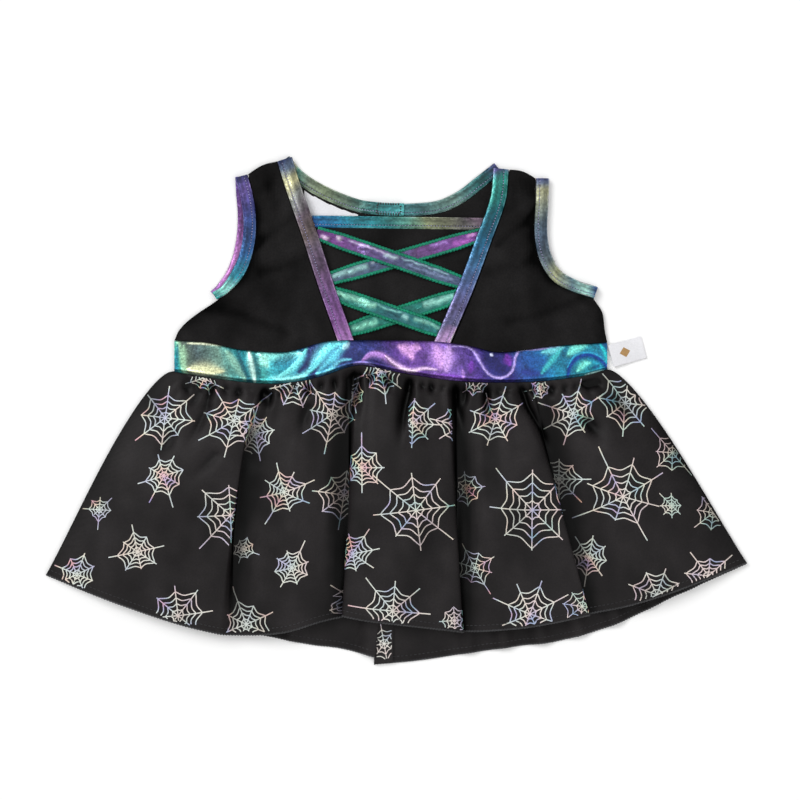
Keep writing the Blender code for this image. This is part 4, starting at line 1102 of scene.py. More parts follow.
BAND_STROKES = [
    Stroke("e8ecd0", 0.5, 0.0, 0.2, 0.85, [(-92.8, 28.8), (-84.9, 28.6), (-77.9, 27.7)]),
    Stroke("a8d0b0", 1.0, 1.0, 0.2, 0.7, [(-94.6, 27.3), (-95.0, 22.4), (-95.0, 17.2)]),
    Stroke("1f7c90", 0.7, 0.0, 0.1, 0.8, [(-97.2, 28.2), (-97.7, 16.3)]),
    Stroke("e6e8c0", 1.5, 1.2, 0.1, 0.9, [(-92.0, 17.2), (-85.8, 16.7), (-77.9, 16.3)]),
    Stroke("9cc8b4", 1.4, -1.0, 0.2, 0.75, [(-75.2, 25.1), (-71.7, 20.7), (-67.3, 13.6)]),
    Stroke("1c9098", 1.3, 0.0, -0.2, 0.8, [(-68.6, 26.0), (-67.3, 19.8)]),
    Stroke("1a5c6c", 1.2, 0.0, -0.2, 0.7, [(-70.8, 26.0), (-68.2, 18.0), (-65.6, 12.8)]),
    Stroke("d4f6ec", 0.85, -0.8, 0.4, 0.95, [(-65.6, 25.5), (-64.2, 19.8), (-62.9, 12.3)]),
    Stroke("1f5c68", 1.3, -0.6, -0.3, 0.75, [(-62.5, 24.6), (-61.6, 18.0), (-60.7, 12.8)]),
    Stroke("9aece4", 1.0, -1.5, 0.3, 0.9, [(-61.6, 24.2), (-52.4, 23.5), (-42.7, 24.6)]),
    Stroke("b4ecdc", 2.2, 0.0, 0.2, 0.75, [(-60.3, 23.3), (-57.6, 18.9)]),
    Stroke("1f6c80", 2.8, 0.0, -0.3, 0.75, [(-53.7, 19.8), (-48.8, 22.4), (-46.2, 23.3)]),
    Stroke("8ceaea", 0.8, 1.4, 0.4, 0.95, [(-40.9, 26.0), (-43.6, 21.6), (-47.5, 17.6), (-52.4, 14.5)]),
    Stroke("9cf0f0", 0.9, 0.8, 0.2, 0.95, [(-55.9, 13.6), (-48.0, 13.0), (-41.8, 14.5), (-37.8, 17.6)]),
    Stroke("33396c", 2.0, 0.0, -0.4, 0.92, [(-31.2, 28.6), (-36.1, 24.2), (-40.0, 19.8), (-43.6, 16.3)]),
    Stroke("84e6ee", 1.1, -2.0, 0.5, 0.95, [(-23.3, 29.0), (-28.6, 27.3), (-32.1, 24.2), (-35.2, 20.2),
                                    (-38.3, 16.7)]),
    Stroke("7cdcec", 2.0, 0.0, 0.3, 0.85, [(-23.3, 28.2), (-26.8, 24.6), (-32.1, 18.9), (-35.6, 15.4)]),
    Stroke("3a88b0", 1.0, 0.0, -0.1, 0.6, [(-29.5, 19.8), (-33.9, 16.3)]),
    Stroke("c4ecf4", 1.2, 0.0, 0.2, 0.8, [(-22.0, 28.6), (-24.2, 26.4)]),
    Stroke("3c427c", 2.4, 0.0, -0.4, 0.85, [(-18.0, 26.8), (-22.4, 23.3), (-26.0, 19.8)]),
    Stroke("86d8ec", 0.45, 1.0, 0.3, 0.9, [(-33.4, 15.4), (-29.5, 17.6), (-25.1, 21.1), (-21.1, 21.6)]),
    Stroke("2a5cc0", 0.7, 0.6, 0.0, 0.8, [(-32.1, 13.2), (-25.1, 15.4), (-18.9, 18.9)]),
    Stroke("b0a4e8", 0.5, 0.6, 0.2, 0.85, [(-19.8, 19.8), (-15.4, 20.2), (-10.1, 18.5)]),
    Stroke("c49ae0", 0.9, -1.0, 0.5, 0.92, [(-15.8, 21.6), (-12.3, 24.2), (-7.9, 24.0), (-4.4, 22.0),
                                    (-0.4, 18.5)]),
    Stroke("46387c", 1.1, 0.0, -0.3, 0.75, [(-11.0, 21.1), (-6.6, 18.5)]),
    Stroke("cfa8e6", 0.7, 0.8, 0.4, 0.9, [(-5.7, 22.9), (-2.2, 19.8), (2.2, 17.6), (5.7, 16.7)]),
    Stroke("e8b8f0", 2.3, 0.0, 0.3, 0.92, [(0.4, 27.3), (4.4, 25.1), (5.7, 22.4)]),
    Stroke("e4b4ee", 1.6, 0.0, 0.2, 0.85, [(5.7, 27.3), (9.2, 26.4)]),
    Stroke("7a58a0", 1.2, 0.0, -0.2, 0.75, [(11.4, 27.3), (8.8, 22.4), (5.7, 18.9)]),
    Stroke("f0d4f6", 0.55, 0.8, 0.4, 0.95, [(-5.7, 22.9), (-1.8, 19.4), (4.8, 16.7), (11.0, 17.6),
                                    (16.3, 17.2)]),
    Stroke("dcb0ee", 3.0, 0.0, 0.3, 0.95, [(16.3, 26.8), (18.0, 22.4), (18.5, 18.9)]),
    Stroke("d8b4f0", 2.4, 0.0, 0.2, 0.9, [(21.6, 26.8), (21.1, 22.4), (20.7, 17.2)]),
    Stroke("7a38b0", 1.0, 0.0, 0.0, 0.6, [(13.6, 14.5), (23.3, 14.5), (29.5, 12.8)]),
    Stroke("c8a0ec", 0.7, 0.0, 0.2, 0.8, [(27.7, 17.2), (28.2, 13.6)]),
    Stroke("8c4cc0", 1.3, 0.0, 0.0, 0.7, [(31.7, 20.7), (31.2, 16.3)]),
    Stroke("c9b8f2", 0.3, 1.2, 0.4, 0.85, [(23.3, 27.3), (27.7, 27.3), (31.2, 26.4), (33.9, 23.3),
                                    (36.1, 18.9), (39.2, 15.0), (43.1, 13.4), (47.5, 14.3),
                                    (50.2, 17.6), (51.0, 22.4), (52.8, 25.5), (57.6, 25.7),
                                    (64.2, 26.4), (70.8, 27.3)]),
    Stroke("c4b0f8", 0.9, 0.0, 0.1, 0.7, [(33.0, 25.1), (35.2, 20.7)]),
    Stroke("30306c", 2.6, 0.0, -0.3, 0.75, [(38.3, 23.8), (43.1, 18.9), (45.8, 16.3)]),
    Stroke("e0e4f8", 0.6, 0.0, 0.3, 0.9, [(40.0, 24.0), (40.9, 23.3)]),
    Stroke("8a48b8", 1.8, 0.0, 0.0, 0.85, [(47.1, 23.3), (48.4, 19.4)]),
    Stroke("3c4494", 2.0, 0.0, -0.2, 0.7, [(54.1, 16.3), (62.0, 15.4)]),
    Stroke("3a6cb4", 2.6, 0.0, -0.1, 0.5, [(55.0, 21.6), (64.7, 20.7)]),
    Stroke("8ce4ea", 0.9, -1.0, 0.3, 0.85, [(62.9, 25.1), (69.1, 26.4), (71.7, 27.3)]),
    Stroke("5cd0d0", 1.2, 0.0, 0.2, 0.75, [(70.8, 26.0), (66.4, 20.7), (62.5, 15.8)]),
    Stroke("8cece0", 1.5, -1.0, 0.3, 0.9, [(74.4, 24.6), (77.4, 27.3), (81.4, 28.2)]),
    Stroke("3ad0d4", 0.9, 0.0, 0.2, 0.85, [(88.4, 28.2), (90.2, 25.1), (91.1, 20.7)]),
    Stroke("1c4c9c", 1.4, 0.0, -0.4, 0.95, [(73.9, 14.5), (75.2, 19.4), (78.8, 22.9), (84.0, 23.8),
                                    (88.4, 21.6), (91.1, 18.5)]),
    Stroke("40b4d4", 0.35, 0.0, 0.2, 0.9, [(73.5, 18.0), (77.0, 23.3), (83.2, 24.9), (88.4, 22.9),
                                    (91.1, 20.2)]),
    Stroke("8ceadc", 1.3, 0.0, 0.3, 0.9, [(78.3, 16.7), (81.4, 19.8), (83.6, 20.2)]),
    Stroke("1f5c88", 0.9, 0.0, -0.2, 0.8, [(84.9, 18.0), (87.6, 18.9)]),
    Stroke("d0f4ec", 0.4, 0.0, 0.2, 0.9, [(81.4, 15.0), (85.8, 16.1), (90.2, 17.2)]),
]
# Strokes of the back halves: painted highlights and a dark band of painted reflection
BACK_BAND_STROKES = [
    Stroke("8ce4e4", 1.2, 1.0, 0.2, 0.9, [(-82.0, 26.0), (-76.0, 23.0), (-70.0, 19.0)]),
    Stroke("33396c", 2.0, 0.0, 0.1, 0.8, [(-60.0, 27.0), (-52.0, 19.0)]),
    Stroke("c8a0e0", 0.6, 1.0, 0.2, 0.9, [(-40.0, 20.0), (-28.0, 25.0), (-18.0, 21.0)]),
    Stroke("dcb0ee", 2.2, 0.0, 0.2, 0.9, [(20.0, 25.0), (27.0, 20.0)]),
    Stroke("e8f0fc", 0.5, 1.0, 0.2, 0.9, [(38.0, 19.0), (42.0, 23.0), (48.0, 25.5), (60.0, 26.0)]),
    Stroke("8cece0", 1.4, 0.0, 0.2, 0.8, [(72.0, 20.0), (82.0, 26.0)]),
]


def painted(points, strokes, stops, seed):
    """The band's points with its strokes raised, and the colour of each point, with the strokes' painted
    highlights and reflections.
    """
    plan = points[..., :2].copy()
    colour_and_painted_light = ramp([(x, linear(code)) for x, code in stops], plan[..., 0] + 0.25 * (plan[..., 1] - 20.0))
    mottle = np.array([[uneven(x, y, 3.6, seed) + 0.5 * uneven(x, y, 0.9, seed + 9) for x, y in row]
                       for row in plan])
    colour_and_painted_light = colour_and_painted_light * (1 + 0.45 * mottle)[..., None]
    # Strokes paint highlights and dark bands of reflection onto the foil, with some patches of its own hue,
    # and raise the band a little
    for stroke in strokes:
        amount = touch(plan, smoothed(stroke.course), stroke.half, soft=stroke.soft, tapered=True)
        points[..., 2] += 0.5 * stroke.rise * amount
        cover = (stroke.cover * np.minimum(1.15 * amount, 1.0))[..., None]
        colour_and_painted_light = colour_and_painted_light * (1 - cover) + np.array(linear(stroke.colour)) * cover
    ripple = np.array([[uneven(x, y, 6.0, seed + 2) + 0.3 * uneven(x, y, 2.0, seed + 3) for x, y in row]
                       for row in plan])
    points[..., 2] += 0.15 * ripple
    return points, colour_and_painted_light


def foil_tint(colour_and_painted_light):
    """The band's colours with the contrast and brightness of foil."""
    return np.clip(BAND_LEVEL * np.maximum(colour_and_painted_light, 0.0) ** BAND_POWER, 0.002, 0.95)


FRONT_BAND_GRID, BACK_BAND_GRID = (44, 560), (20, 200)
WAIST_ARCH = 0.25
BAND_TURN_IN, BAND_TURN_SHARE = 0.35, 0.03
BAND_THICK = 0.7


def front_waistband():
    """Wide foil band, arched a little between its two seams, with a welt along its foot."""
    rows, columns = FRONT_BAND_GRID
    points = np.zeros((rows + 1, columns + 1, 3))
    for i in range(columns + 1):
        x = mix(WAIST_LEFT, WAIST_RIGHT, i / columns)
        low, high, stand = height_over(WAIST_BOTTOM, x), height_over(WAIST_TOP, x), waist_height(x)
        for j in range(rows + 1):
            r = j / rows
            arch = WAIST_ARCH * (stand - FRONT_EDGE_Z) * math.sin(math.pi * r)
            turn_in = BAND_TURN_IN * (math.exp(-r / BAND_TURN_SHARE) + math.exp(-(1 - r) / BAND_TURN_SHARE))
            welt = 0.3 * math.exp(-((r - 0.1) / 0.035) ** 2)
            points[j, i] = x, mix(low, high, r), stand + arch + welt - turn_in
    points, colour_and_painted_light = painted(points, BAND_STROKES, BAND_STOPS, 3)
    # Painted shade along the folded top and foot and in the groove beside the welt, and a painted highlight
    # on the welt
    share = np.linspace(0, 1, rows + 1)[:, None, None]
    edges = np.exp(-(share / 0.035) ** 2) + np.exp(-((1 - share) / 0.03) ** 2)
    groove = np.exp(-((share - 0.07) / 0.02) ** 2)
    welt = np.exp(-((share - 0.115) / 0.022) ** 2)
    colour_and_painted_light = colour_and_painted_light * (1 - 0.6 * edges) * (1 - 0.5 * groove) * (1 + 0.35 * welt)
    shell("waistband_front_cloth", Surface(points), BAND_THICK, FOIL_BAND,
                                    ["waistband_front"], foil_tint(colour_and_painted_light))


def back_waistband(name, start, end, lift):
    """One half of the back waistband."""
    rows, columns = BACK_BAND_GRID
    points = np.zeros((rows + 1, columns + 1, 3))
    for j in range(rows + 1):
        for i in range(columns + 1):
            x = mix(start, end, i / columns)
            z = BACK_Z + overlap_lift(x, OVERLAP_RIGHT_WAIST, lift)
            points[j, i] = x, mix(BACK_WAIST_BOTTOM, BACK_WAIST_TOP, j / rows), z
    points, colour_and_painted_light = painted(points, BACK_BAND_STROKES, BAND_STOPS, 8)
    shell(f"{name}_cloth", Surface(points), THIN, FOIL_BAND, [name],
                       foil_tint(colour_and_painted_light))


def puff(x, half, v):
    """The skirt swells sideways below the waist, most at its side seams."""
    return SIDE_PUFF * v**PUFF_RISE * (1 - v) ** PUFF_FALL * (x / half) * abs(x / half)


# Painted deep shade beside the folds: skirt line, half width in lines, top and foot as shares of the drop,
# darkness
Shadow = namedtuple("Shadow", "line half top foot dark")
FOLD_SHADOWS = [
    Shadow(5.0, 0.7, 0.34, 0.54, 0.7), Shadow(9.0, 0.8, 0.14, 0.7, 0.8), Shadow(14.8, 0.6, 0.0, 1.0, 0.8),
    Shadow(18.9, 0.7, 0.08, 0.6, 0.8), Shadow(12.0, 0.3, 0.0, 0.26, 0.6), Shadow(16.3, 0.3, 0.0, 0.46, 0.5),
]
SHADOW_TOP_FADE, SHADOW_FOOT_FADE = 0.08, 0.14
# Gathers that fall from the front waist seam
GATHER_SPREAD, GATHER_DEEPER = 1.35, 1.25
SKIRT_GATHERS = [
    Crease(1.5, 2.2, [(-84.5, 0.4), (-89.3, -9.2), (-94.6, -18.5)]),
    Crease(1.4, 2.0, [(-88.0, 7.0), (-93.5, -3.0)]),
    Crease(1.2, 2.4, [(-81.0, -20.2), (-87.0, -26.0), (-93.0, -31.5)]),
    Crease(1.5, 2.6, [(-39.6, 0.4), (-43.6, -7.0), (-49.3, -14.5)]),
    Crease(1.2, 2.6, [(-100.0, -12.0), (-106.0, -24.0)]),
    Crease(1.0, 3.0, [(10.0, -6.0), (14.0, -16.0)]),
    Crease(1.2, 2.4, [(96.0, 4.0), (104.0, -8.0)]),
    Crease(1.1, 2.6, [(84.0, -6.0), (92.0, -18.0)]),
    Crease(2.4, 1.3, [(-93.3, 15.0), (-92.8, 4.0)]),
    Crease(1.4, 1.2, [(-89.3, 14.1), (-89.3, 7.5)]),
    Crease(1.8, 1.3, [(-81.4, 11.0), (-85.4, -0.4)]),
    Crease(1.6, 1.2, [(-76.1, 11.9), (-77.0, 4.8)]),
    Crease(2.0, 1.3, [(-70.0, 11.4), (-71.7, 2.2)]),
    Crease(1.2, 1.0, [(-65.1, 11.0), (-65.6, 5.7)]),
    Crease(2.6, 2.2, [(-59.4, 11.0), (-57.6, -1.3)]),
    Crease(1.6, 1.2, [(-51.9, 11.0), (-52.4, 4.0)]),
    Crease(1.4, 1.1, [(-46.6, 11.0), (-46.2, 4.8)]),
    Crease(2.4, 1.2, [(-39.6, 11.9), (-39.6, 3.1)]),
    Crease(1.4, 1.1, [(-34.3, 13.6), (-33.9, 6.6)]),
    Crease(1.8, 1.3, [(-28.6, 15.4), (-27.3, 4.0)]),
    Crease(3.4, 3.0, [(-19.4, 18.9), (-20.2, 4.0), (-21.1, -8.4)]),
    Crease(2.0, 1.4, [(-12.8, 18.0), (-12.3, 7.5)]),
    Crease(2.2, 1.7, [(-4.8, 15.4), (-4.0, 4.8)]),
    Crease(3.0, 1.6, [(4.8, 12.8), (2.2, -1.3), (-0.4, -18.9)]),
    Crease(1.6, 1.1, [(9.7, 12.8), (10.1, 6.6)]),
    Crease(2.2, 1.2, [(14.1, 12.3), (14.5, 4.8)]),
    Crease(1.4, 1.0, [(19.4, 11.9), (19.4, 6.6)]),
    Crease(2.8, 1.6, [(24.6, 11.9), (25.5, -0.4), (26.4, -13.6)]),
    Crease(2.0, 1.2, [(29.9, 11.0), (28.6, -1.3)]),
    Crease(1.4, 1.0, [(34.3, 11.0), (33.9, 4.8)]),
    Crease(2.8, 1.3, [(38.3, 11.0), (38.3, -7.5)]),
    Crease(1.6, 1.1, [(43.6, 11.0), (44.0, 4.0)]),
    Crease(1.4, 1.0, [(48.0, 11.0), (48.4, 5.7)]),
    Crease(2.8, 1.4, [(52.8, 11.9), (56.3, 1.3), (63.4, -13.2), (66.9, -25.1)]),
    Crease(2.0, 1.2, [(57.6, 11.4), (59.0, 4.0)]),
    Crease(1.4, 1.0, [(62.5, 11.4), (62.9, 6.6)]),
    Crease(2.2, 1.3, [(66.4, 11.9), (67.8, 4.0)]),
    Crease(1.6, 1.2, [(72.2, 12.3), (73.9, 4.8)]),
    Crease(1.4, 1.1, [(77.0, 12.8), (78.3, 7.5)]),
    Crease(2.4, 2.0, [(81.8, 11.9), (88.4, 10.1)]),
    Crease(1.2, 3.6, [(82.3, -4.8), (87.6, -13.6)]),
    Crease(1.0, 1.2, [(86.7, 14.1), (88.4, 7.5)]),
]


# Small waves under the waist seam: how many to a line, how they drift, how deep, and where they begin and end
WAVES_PER_LINE, WAVE_DRIFT = 1.7, 0.6
WAVE_DEPTH, WAVE_SPREAD = 0.9, 0.7
WAVE_START, WAVE_FALL = 0.05, 0.12
# The cloth is level for so many lines at each side, and its soft unevenness grows over a share of the drop
SIDE_FADE, SOFT_START = 1.5, 0.2
GATHER_LEAST = 0.25


def front_skirt():
    """Gathered front panel: each row of the grid is a smooth section through the skirt's lines."""
    count = len(SKIRT_LINES) - 1
    half = max(abs(SKIRT_LINES[0].waist_x), abs(SKIRT_LINES[-1].waist_x))
    columns = count * STEPS_PER_LINE
    points = np.zeros((FRONT_ROWS + 1, columns + 1, 3))
    fade = np.zeros((FRONT_ROWS + 1, 1))
    for j in range(FRONT_ROWS + 1):
        v = (j / FRONT_ROWS) ** FRONT_ROW_POWER
        xs, ys, zs = [], [], []
        for line in SKIRT_LINES:
            waist_y = height_over(WAIST_BOTTOM, line.waist_x) - SEAM
            x = mix(line.waist_x, line.hem_x, v) + puff(line.waist_x, half, v)
            kept = 1 - TUCK_LOSS * ease((v - TUCK_HOLD) / (1 - TUCK_HOLD))
            xs.append(x + line.tuck * ease(v / TUCK_IN) * kept)
            ys.append(mix(waist_y, height_over(FRONT_HEM, line.hem_x), v))
            zs.append(hermite([0.0, MID_SHARE, 1.0], [waist_height(line.waist_x), line.mid_z, line.hem_z], v))
        stations = [0.0]
        for k in range(count):
            stations.append(stations[-1] + math.hypot(xs[k + 1] - xs[k], zs[k + 1] - zs[k]))
        for i in range(columns + 1):
            s = i / STEPS_PER_LINE
            k = min(int(s), count - 1)
            where = mix(stations[k], stations[k + 1], s - k)
            x, y, z = (hermite(stations, values, where) for values in (xs, ys, zs))
            ends = min(1.0, s / SIDE_FADE, (count - s) / SIDE_FADE)
            phase = WAVES_PER_LINE * s + WAVE_DRIFT * uneven(s, 0, 1.6, 1)
            wave = 0.5 * (1 + math.cos(2 * math.pi * phase))
            small = (WAVE_DEPTH + WAVE_SPREAD * uneven(s, 0, 0.9, 2)) * wave
            small *= math.exp(-v / WAVE_FALL) * ease(v / WAVE_START)
            soft = 0.7 * uneven(x, y, 26.0, 5) + 0.3 * uneven(x, y, 9.0, 6)
            points[j, i] = x, y, z - ends * (small - soft * ease(v / SOFT_START))
        fade[j] = mix(GATHER_LEAST, 1.0, ease(v / WAVE_START))
    plan = points[..., :2].copy()
    for crease in SKIRT_GATHERS:
        amount = touch(plan, crease.course, GATHER_SPREAD * crease.half, fading=True)
        points[..., 2] -= fade * GATHER_DEEPER * crease.depth * amount
    points[..., 2] = np.maximum(points[..., 2], FRONT_EDGE_Z)
    surface = Surface(points)
    # Painted shade in the skirt's hollows, on both sides
    surface.shades = shading(surface, SKIRT_DEPTH)
    down = (np.arange(FRONT_ROWS + 1) / FRONT_ROWS)[:, None] ** FRONT_ROW_POWER
    across = np.arange(columns + 1)[None, :] / STEPS_PER_LINE
    # Painted deep shade beside the folds, on the upper side
    for shadow in FOLD_SHADOWS:
        rise = np.clip((down - shadow.top) / SHADOW_TOP_FADE + 0.5, 0, 1)
        rise *= np.clip((shadow.foot - down) / SHADOW_FOOT_FADE + 0.5, 0, 1)
        dim = 1 - shadow.dark * rise * np.exp(-((across - shadow.line) / shadow.half) ** 4)
        surface.shades[0][:] *= dim[..., None]
    shell("skirt_front_cloth", surface, THIN, SATIN, ["skirt_front"],
                                surface.shades)
    hem(surface, "skirt_front")
    return surface


def back_skirt(name, side_waist, side_hem, centre_waist, centre_hem, hem_line, lift, seed):
    """One half of the back skirt: it rests on the surface between channels that rise off it."""
    half = max(abs(WAIST_LEFT), abs(WAIST_RIGHT))
    points = np.zeros((BACK_ROWS + 1, BACK_COLUMNS + 1, 3))
    for j in range(BACK_ROWS + 1):
        v = (j / BACK_ROWS) ** BACK_ROW_POWER
        for i in range(BACK_COLUMNS + 1):
            share = i / BACK_COLUMNS
            waist_x, hem_x = mix(side_waist, centre_waist, share), mix(side_hem, centre_hem, share)
            x = mix(waist_x, hem_x, v) + puff(waist_x, half, v)
            y = mix(BACK_WAIST_BOTTOM - SEAM, height_over(hem_line, hem_x), v)
            ends = ease((share - BACK_SIDE_FLAT) / BACK_SIDE_RAMP)
            ends *= ease((BACK_CENTRE_FLAT - share) / BACK_CENTRE_RAMP)
            channel = mix(BACK_CHANNEL_WAIST, BACK_CHANNEL_HEM, ease(v / BACK_CHANNEL_GROWTH))
            wave = (0.5 - 0.5 * math.cos(2 * math.pi * share * BACK_GATHERS)) ** BACK_CHANNEL_POWER
            edge = mix(OVERLAP_RIGHT_WAIST, OVERLAP_RIGHT_HEM, v)
            soft = 0.25 * max(uneven(x, y, 12.0, seed), 0.0)
            points[j, i] = x, y, BACK_Z + channel * ends * wave + soft + overlap_lift(x, edge, lift)
    surface = Surface(points)
    # Painted shade in its hollows, on both sides
    surface.shades = shading(surface)
    shell(f"{name}_cloth", surface, THIN, SATIN, [name], surface.shades)
    hem(surface, name)
    return surface


FACING_GRID = (60, 8)


def back_facing():
    """Allowance of the right back half, folded in along its centre edge, so that its print shows."""
    rows, columns = FACING_GRID
    points = np.zeros((rows + 1, columns + 1, 3))
    for j in range(rows + 1):
        v = j / rows
        start = mix(OVERLAP_RIGHT_WAIST, OVERLAP_RIGHT_HEM, v) + SEAM
        for i in range(columns + 1):
            x = start + FACING_WIDTH * i / columns
            y = mix(BACK_WAIST_BOTTOM - SEAM, height_over(BACK_HEM_RIGHT, max(x, BACK_HEM_RIGHT[0][0])), v)
            points[j, i] = x, y, OVERLAP_Z + 0.1 * uneven(x, y, 7.0, 4)
    surface = Surface(points)
    # Painted shade in its hollows, on both sides
    surface.shades = shading(surface)
    shell("back_facing_right_cloth", surface, THIN, SATIN,
                                      ["back_facing_right"], surface.shades)
    return surface


HEM_RADIUS = 0.45
HEM_STITCH = 2.4
HEM_READING = 0.25


def hem(surface, name):
    """Overlocked edge along the last row of a skirt panel, and the stitch line above it."""
    columns = np.arange(0, surface.last_column + 0.01, HEM_READING)
    line, ups = surface.above(np.full(len(columns), float(surface.last_row)), columns, 0.0)
    edge = tube(line, ups, HEM_RADIUS, HEM_TWIST, sides=6)
    before = surface.read(surface.down, np.full(len(columns), surface.last_row - 1.0), columns)
    step = np.linalg.norm(before, axis=1)
    rows = surface.last_row - HEM_STITCH / step
    course, facing = surface.above(rows, columns, THIN / 2)
    points, faces = joined([edge] + run_of_stitches(course, facing, HEM_STITCHES))
    extras.setdefault(name, []).append(
        new_object(f"{name}_hem", points, faces, THREAD_BLACK))


# Printed webs: middle of each, the radius of its outer ring, and the skirt lines that it shows between
ANYWHERE = 99.0
Web = namedtuple("Web", "x y radius low high", defaults=(0.0, ANYWHERE))
FRONT_WEBS = [
    Web(-102.5, -4.0, 11.4), Web(-71.9, -4.8, 11.9), Web(-62.5, -11.0, 8.4), Web(-46.6, 13.2, 9.6),
    Web(-86.2, 13.6, 5.7), Web(-102.5, -29.0, 8.4), Web(-73.0, -46.2, 15.0, 0.0, 4.2),
    Web(-50.2, -36.1, 9.0),
    Web(-29.0, -2.4, 11.4), Web(-23.9, -37.8, 11.0, 0.0, 9.6), Web(-20.2, 5.7, 5.7, 9.4),
    Web(-7.9, 16.2, 9.6),
    Web(-16.3, -25.7, 8.8), Web(5.7, -5.7, 9.2, 12.3), Web(25.6, -7.0, 9.6, 0.0, 14.3),
    Web(7.5, -44.0, 15.4),
    Web(-20.7, -63.4, 8.4, 9.7), Web(29.0, -35.2, 7.5, 15.0), Web(41.8, -4.0, 11.0), Web(57.4, -43.6, 15.4),
    Web(61.6, 8.8, 4.4), Web(70.0, -30.8, 9.7, 19.0), Web(33.9, 14.1, 5.7), Web(33.0, -69.1, 7.9),
    Web(-130.8, -44.0, 4.8), Web(-113.5, -62.3, 8.8), Web(-68.6, -61.6, 4.6), Web(-46.6, -69.5, 8.1),
    Web(-95.9, -89.8, 11.9), Web(-66.4, -94.6, 10.6), Web(-141.2, -72.2, 8.8),
    Web(-25.0, -85.4, 10.0, 0.0, 9.6),
    Web(75.7, -1.8, 9.7), Web(99.4, 2.6, 11.4), Web(120.3, -18.9, 7.9), Web(97.2, -38.3, 13.2),
    Web(119.2, -42.7, 4.4), Web(83.2, -64.9, 8.4), Web(113.1, -80.5, 11.4), Web(135.5, -73.5, 9.2),
    Web(138.2, -45.3, 7.5), Web(80.6, -85.6, 8.0, 0.0, 18.9), Web(-3.1, -88.4, 11.4),
    Web(57.2, -89.3, 11.9),
    Web(24.6, -92.0, 6.6),
]
WEB_WAYS, WEB_SPOKES = 64, 8
WEB_LINE, WEB_LINE_SMALL = 0.46, 0.35
WEB_RISE = 0.07
WEB_RINGS, WEB_RINGS_SMALL = (0.26, 0.5, 0.74, 1.0), (0.32, 0.64, 1.0)
WEB_SMALL = 8.0
WEB_SAG = 0.2
# How far rays may reach, as shares of the web's radius, and how far each runs on past the outer ring
WEB_REACH = (0.8, 1.12)
WEB_BEYOND = (1.1, 1.15, 1.25, 1.45, 1.7)
WEB_FARTHEST = 2.2
WEB_TURN = 0.7
RAY_STEP = 1.1
EDGE_MARGIN = 0.6
# Painted iridescence: colours that the pearly print turns through as its cloth leans, and its colour where it
# lies level
PEARL_HUES = [(0.0, "4a78d0"), (0.18, "50b8c8"), (0.34, "8cd8b8"), (0.46, "ece0b0"), (0.58, "e8a880"),
              (0.72, "e088a0"), (0.86, "9070d0"), (1.0, "4a78d0")]
PEARL_LEVEL = linear("e6e2dc")


def spread_out(surface, row, column, reach, turn):
    """Rows and columns that straight walks over the cloth reach in each direction, at each millimetre."""
    angles = turn + np.arange(WEB_WAYS) * 2 * math.pi / WEB_WAYS
    rows, columns = np.full(WEB_WAYS, float(row)), np.full(WEB_WAYS, float(column))
    walked = [(rows.copy(), columns.copy())]
    for _ in range(int(reach) + 1):
        across = surface.read(surface.across, rows, columns)
        down = surface.read(surface.down, rows, columns)
        width = np.linalg.norm(across, axis=1)
        along = across / width[:, None]
        lean = (down * along).sum(axis=1)
        drop = np.linalg.norm(down - along * lean[:, None], axis=1)
        by_row = -np.sin(angles) / np.maximum(drop, 1e-3)
        rows = rows + by_row
        columns = columns + (np.cos(angles) - by_row * lean) / np.maximum(width, 1e-3)
        walked.append((rows.copy(), columns.copy()))
    return np.array([w[0] for w in walked]), np.array([w[1] for w in walked])


def web_lines(surface, web, seed, upward=1):
    """Lines of one web as lists of (row, column) on the cloth."""
    chance = random.Random(seed)
    spokes = WEB_SPOKES
    gap = WEB_WAYS // spokes
    rows, columns = spread_out(surface, *surface.nearest(web.x, web.y, upward), web.radius * WEB_FARTHEST,
                               chance.uniform(0, WEB_TURN))

    def place(way, radius):
        way %= WEB_WAYS
        k = int(radius)
        t = radius - k
        return (mix(rows[k, way], rows[k + 1, way], t), mix(columns[k, way], columns[k + 1, way], t))

    reaches = [web.radius * chance.uniform(*WEB_REACH) for _ in range(spokes)]
    beyond = [chance.choice(WEB_BEYOND) for _ in range(spokes)]
    lines = [[place(s * gap, r) for r in np.arange(0, reaches[s] * beyond[s], RAY_STEP)]
             for s in range(spokes)]
    for share in WEB_RINGS if web.radius > WEB_SMALL else WEB_RINGS_SMALL:
        line = []
        for way in range(WEB_WAYS + 1):
            spoke, t = (way // gap) % spokes, (way % gap) / gap
            reach = mix(reaches[spoke], reaches[(spoke + 1) % spokes], t)
            line.append(place(way, reach * share * (1 - WEB_SAG * math.sin(math.pi * t))))
        lines.append(line)
    return lines


def pearl(surface, rows, columns, points, normals, side):
    """Colour of the print at points of the cloth: nearly white where level, with painted iridescence where it
    leans, dimmed by the cloth's painted shade.
    """
    stops = [(share, linear(code)) for share, code in PEARL_HUES]
    drift = np.array([uneven(x, y, 9.0, 33) for x, y, _ in points])
    hue = ramp(stops, (0.45 + 0.8 * normals[:, 0] - 0.5 * normals[:, 1] + 0.9 * drift) % 1.0)
    lean = np.linalg.norm(normals[:, :2], axis=1)
    strength = np.clip(0.05 + 0.75 * lean + 0.9 * np.maximum(np.abs(drift) - 0.12, 0), 0, 0.75)[:, None]
    # Painted shade: the print darkens with the cloth's painted shade in its hollows
    shade = surface.read(surface.shades[0 if side > 0 else 1], rows, columns)
    return mix(np.array(PEARL_LEVEL), hue, strength) * np.clip(0.12 + 0.9 * shade, 0, 1)


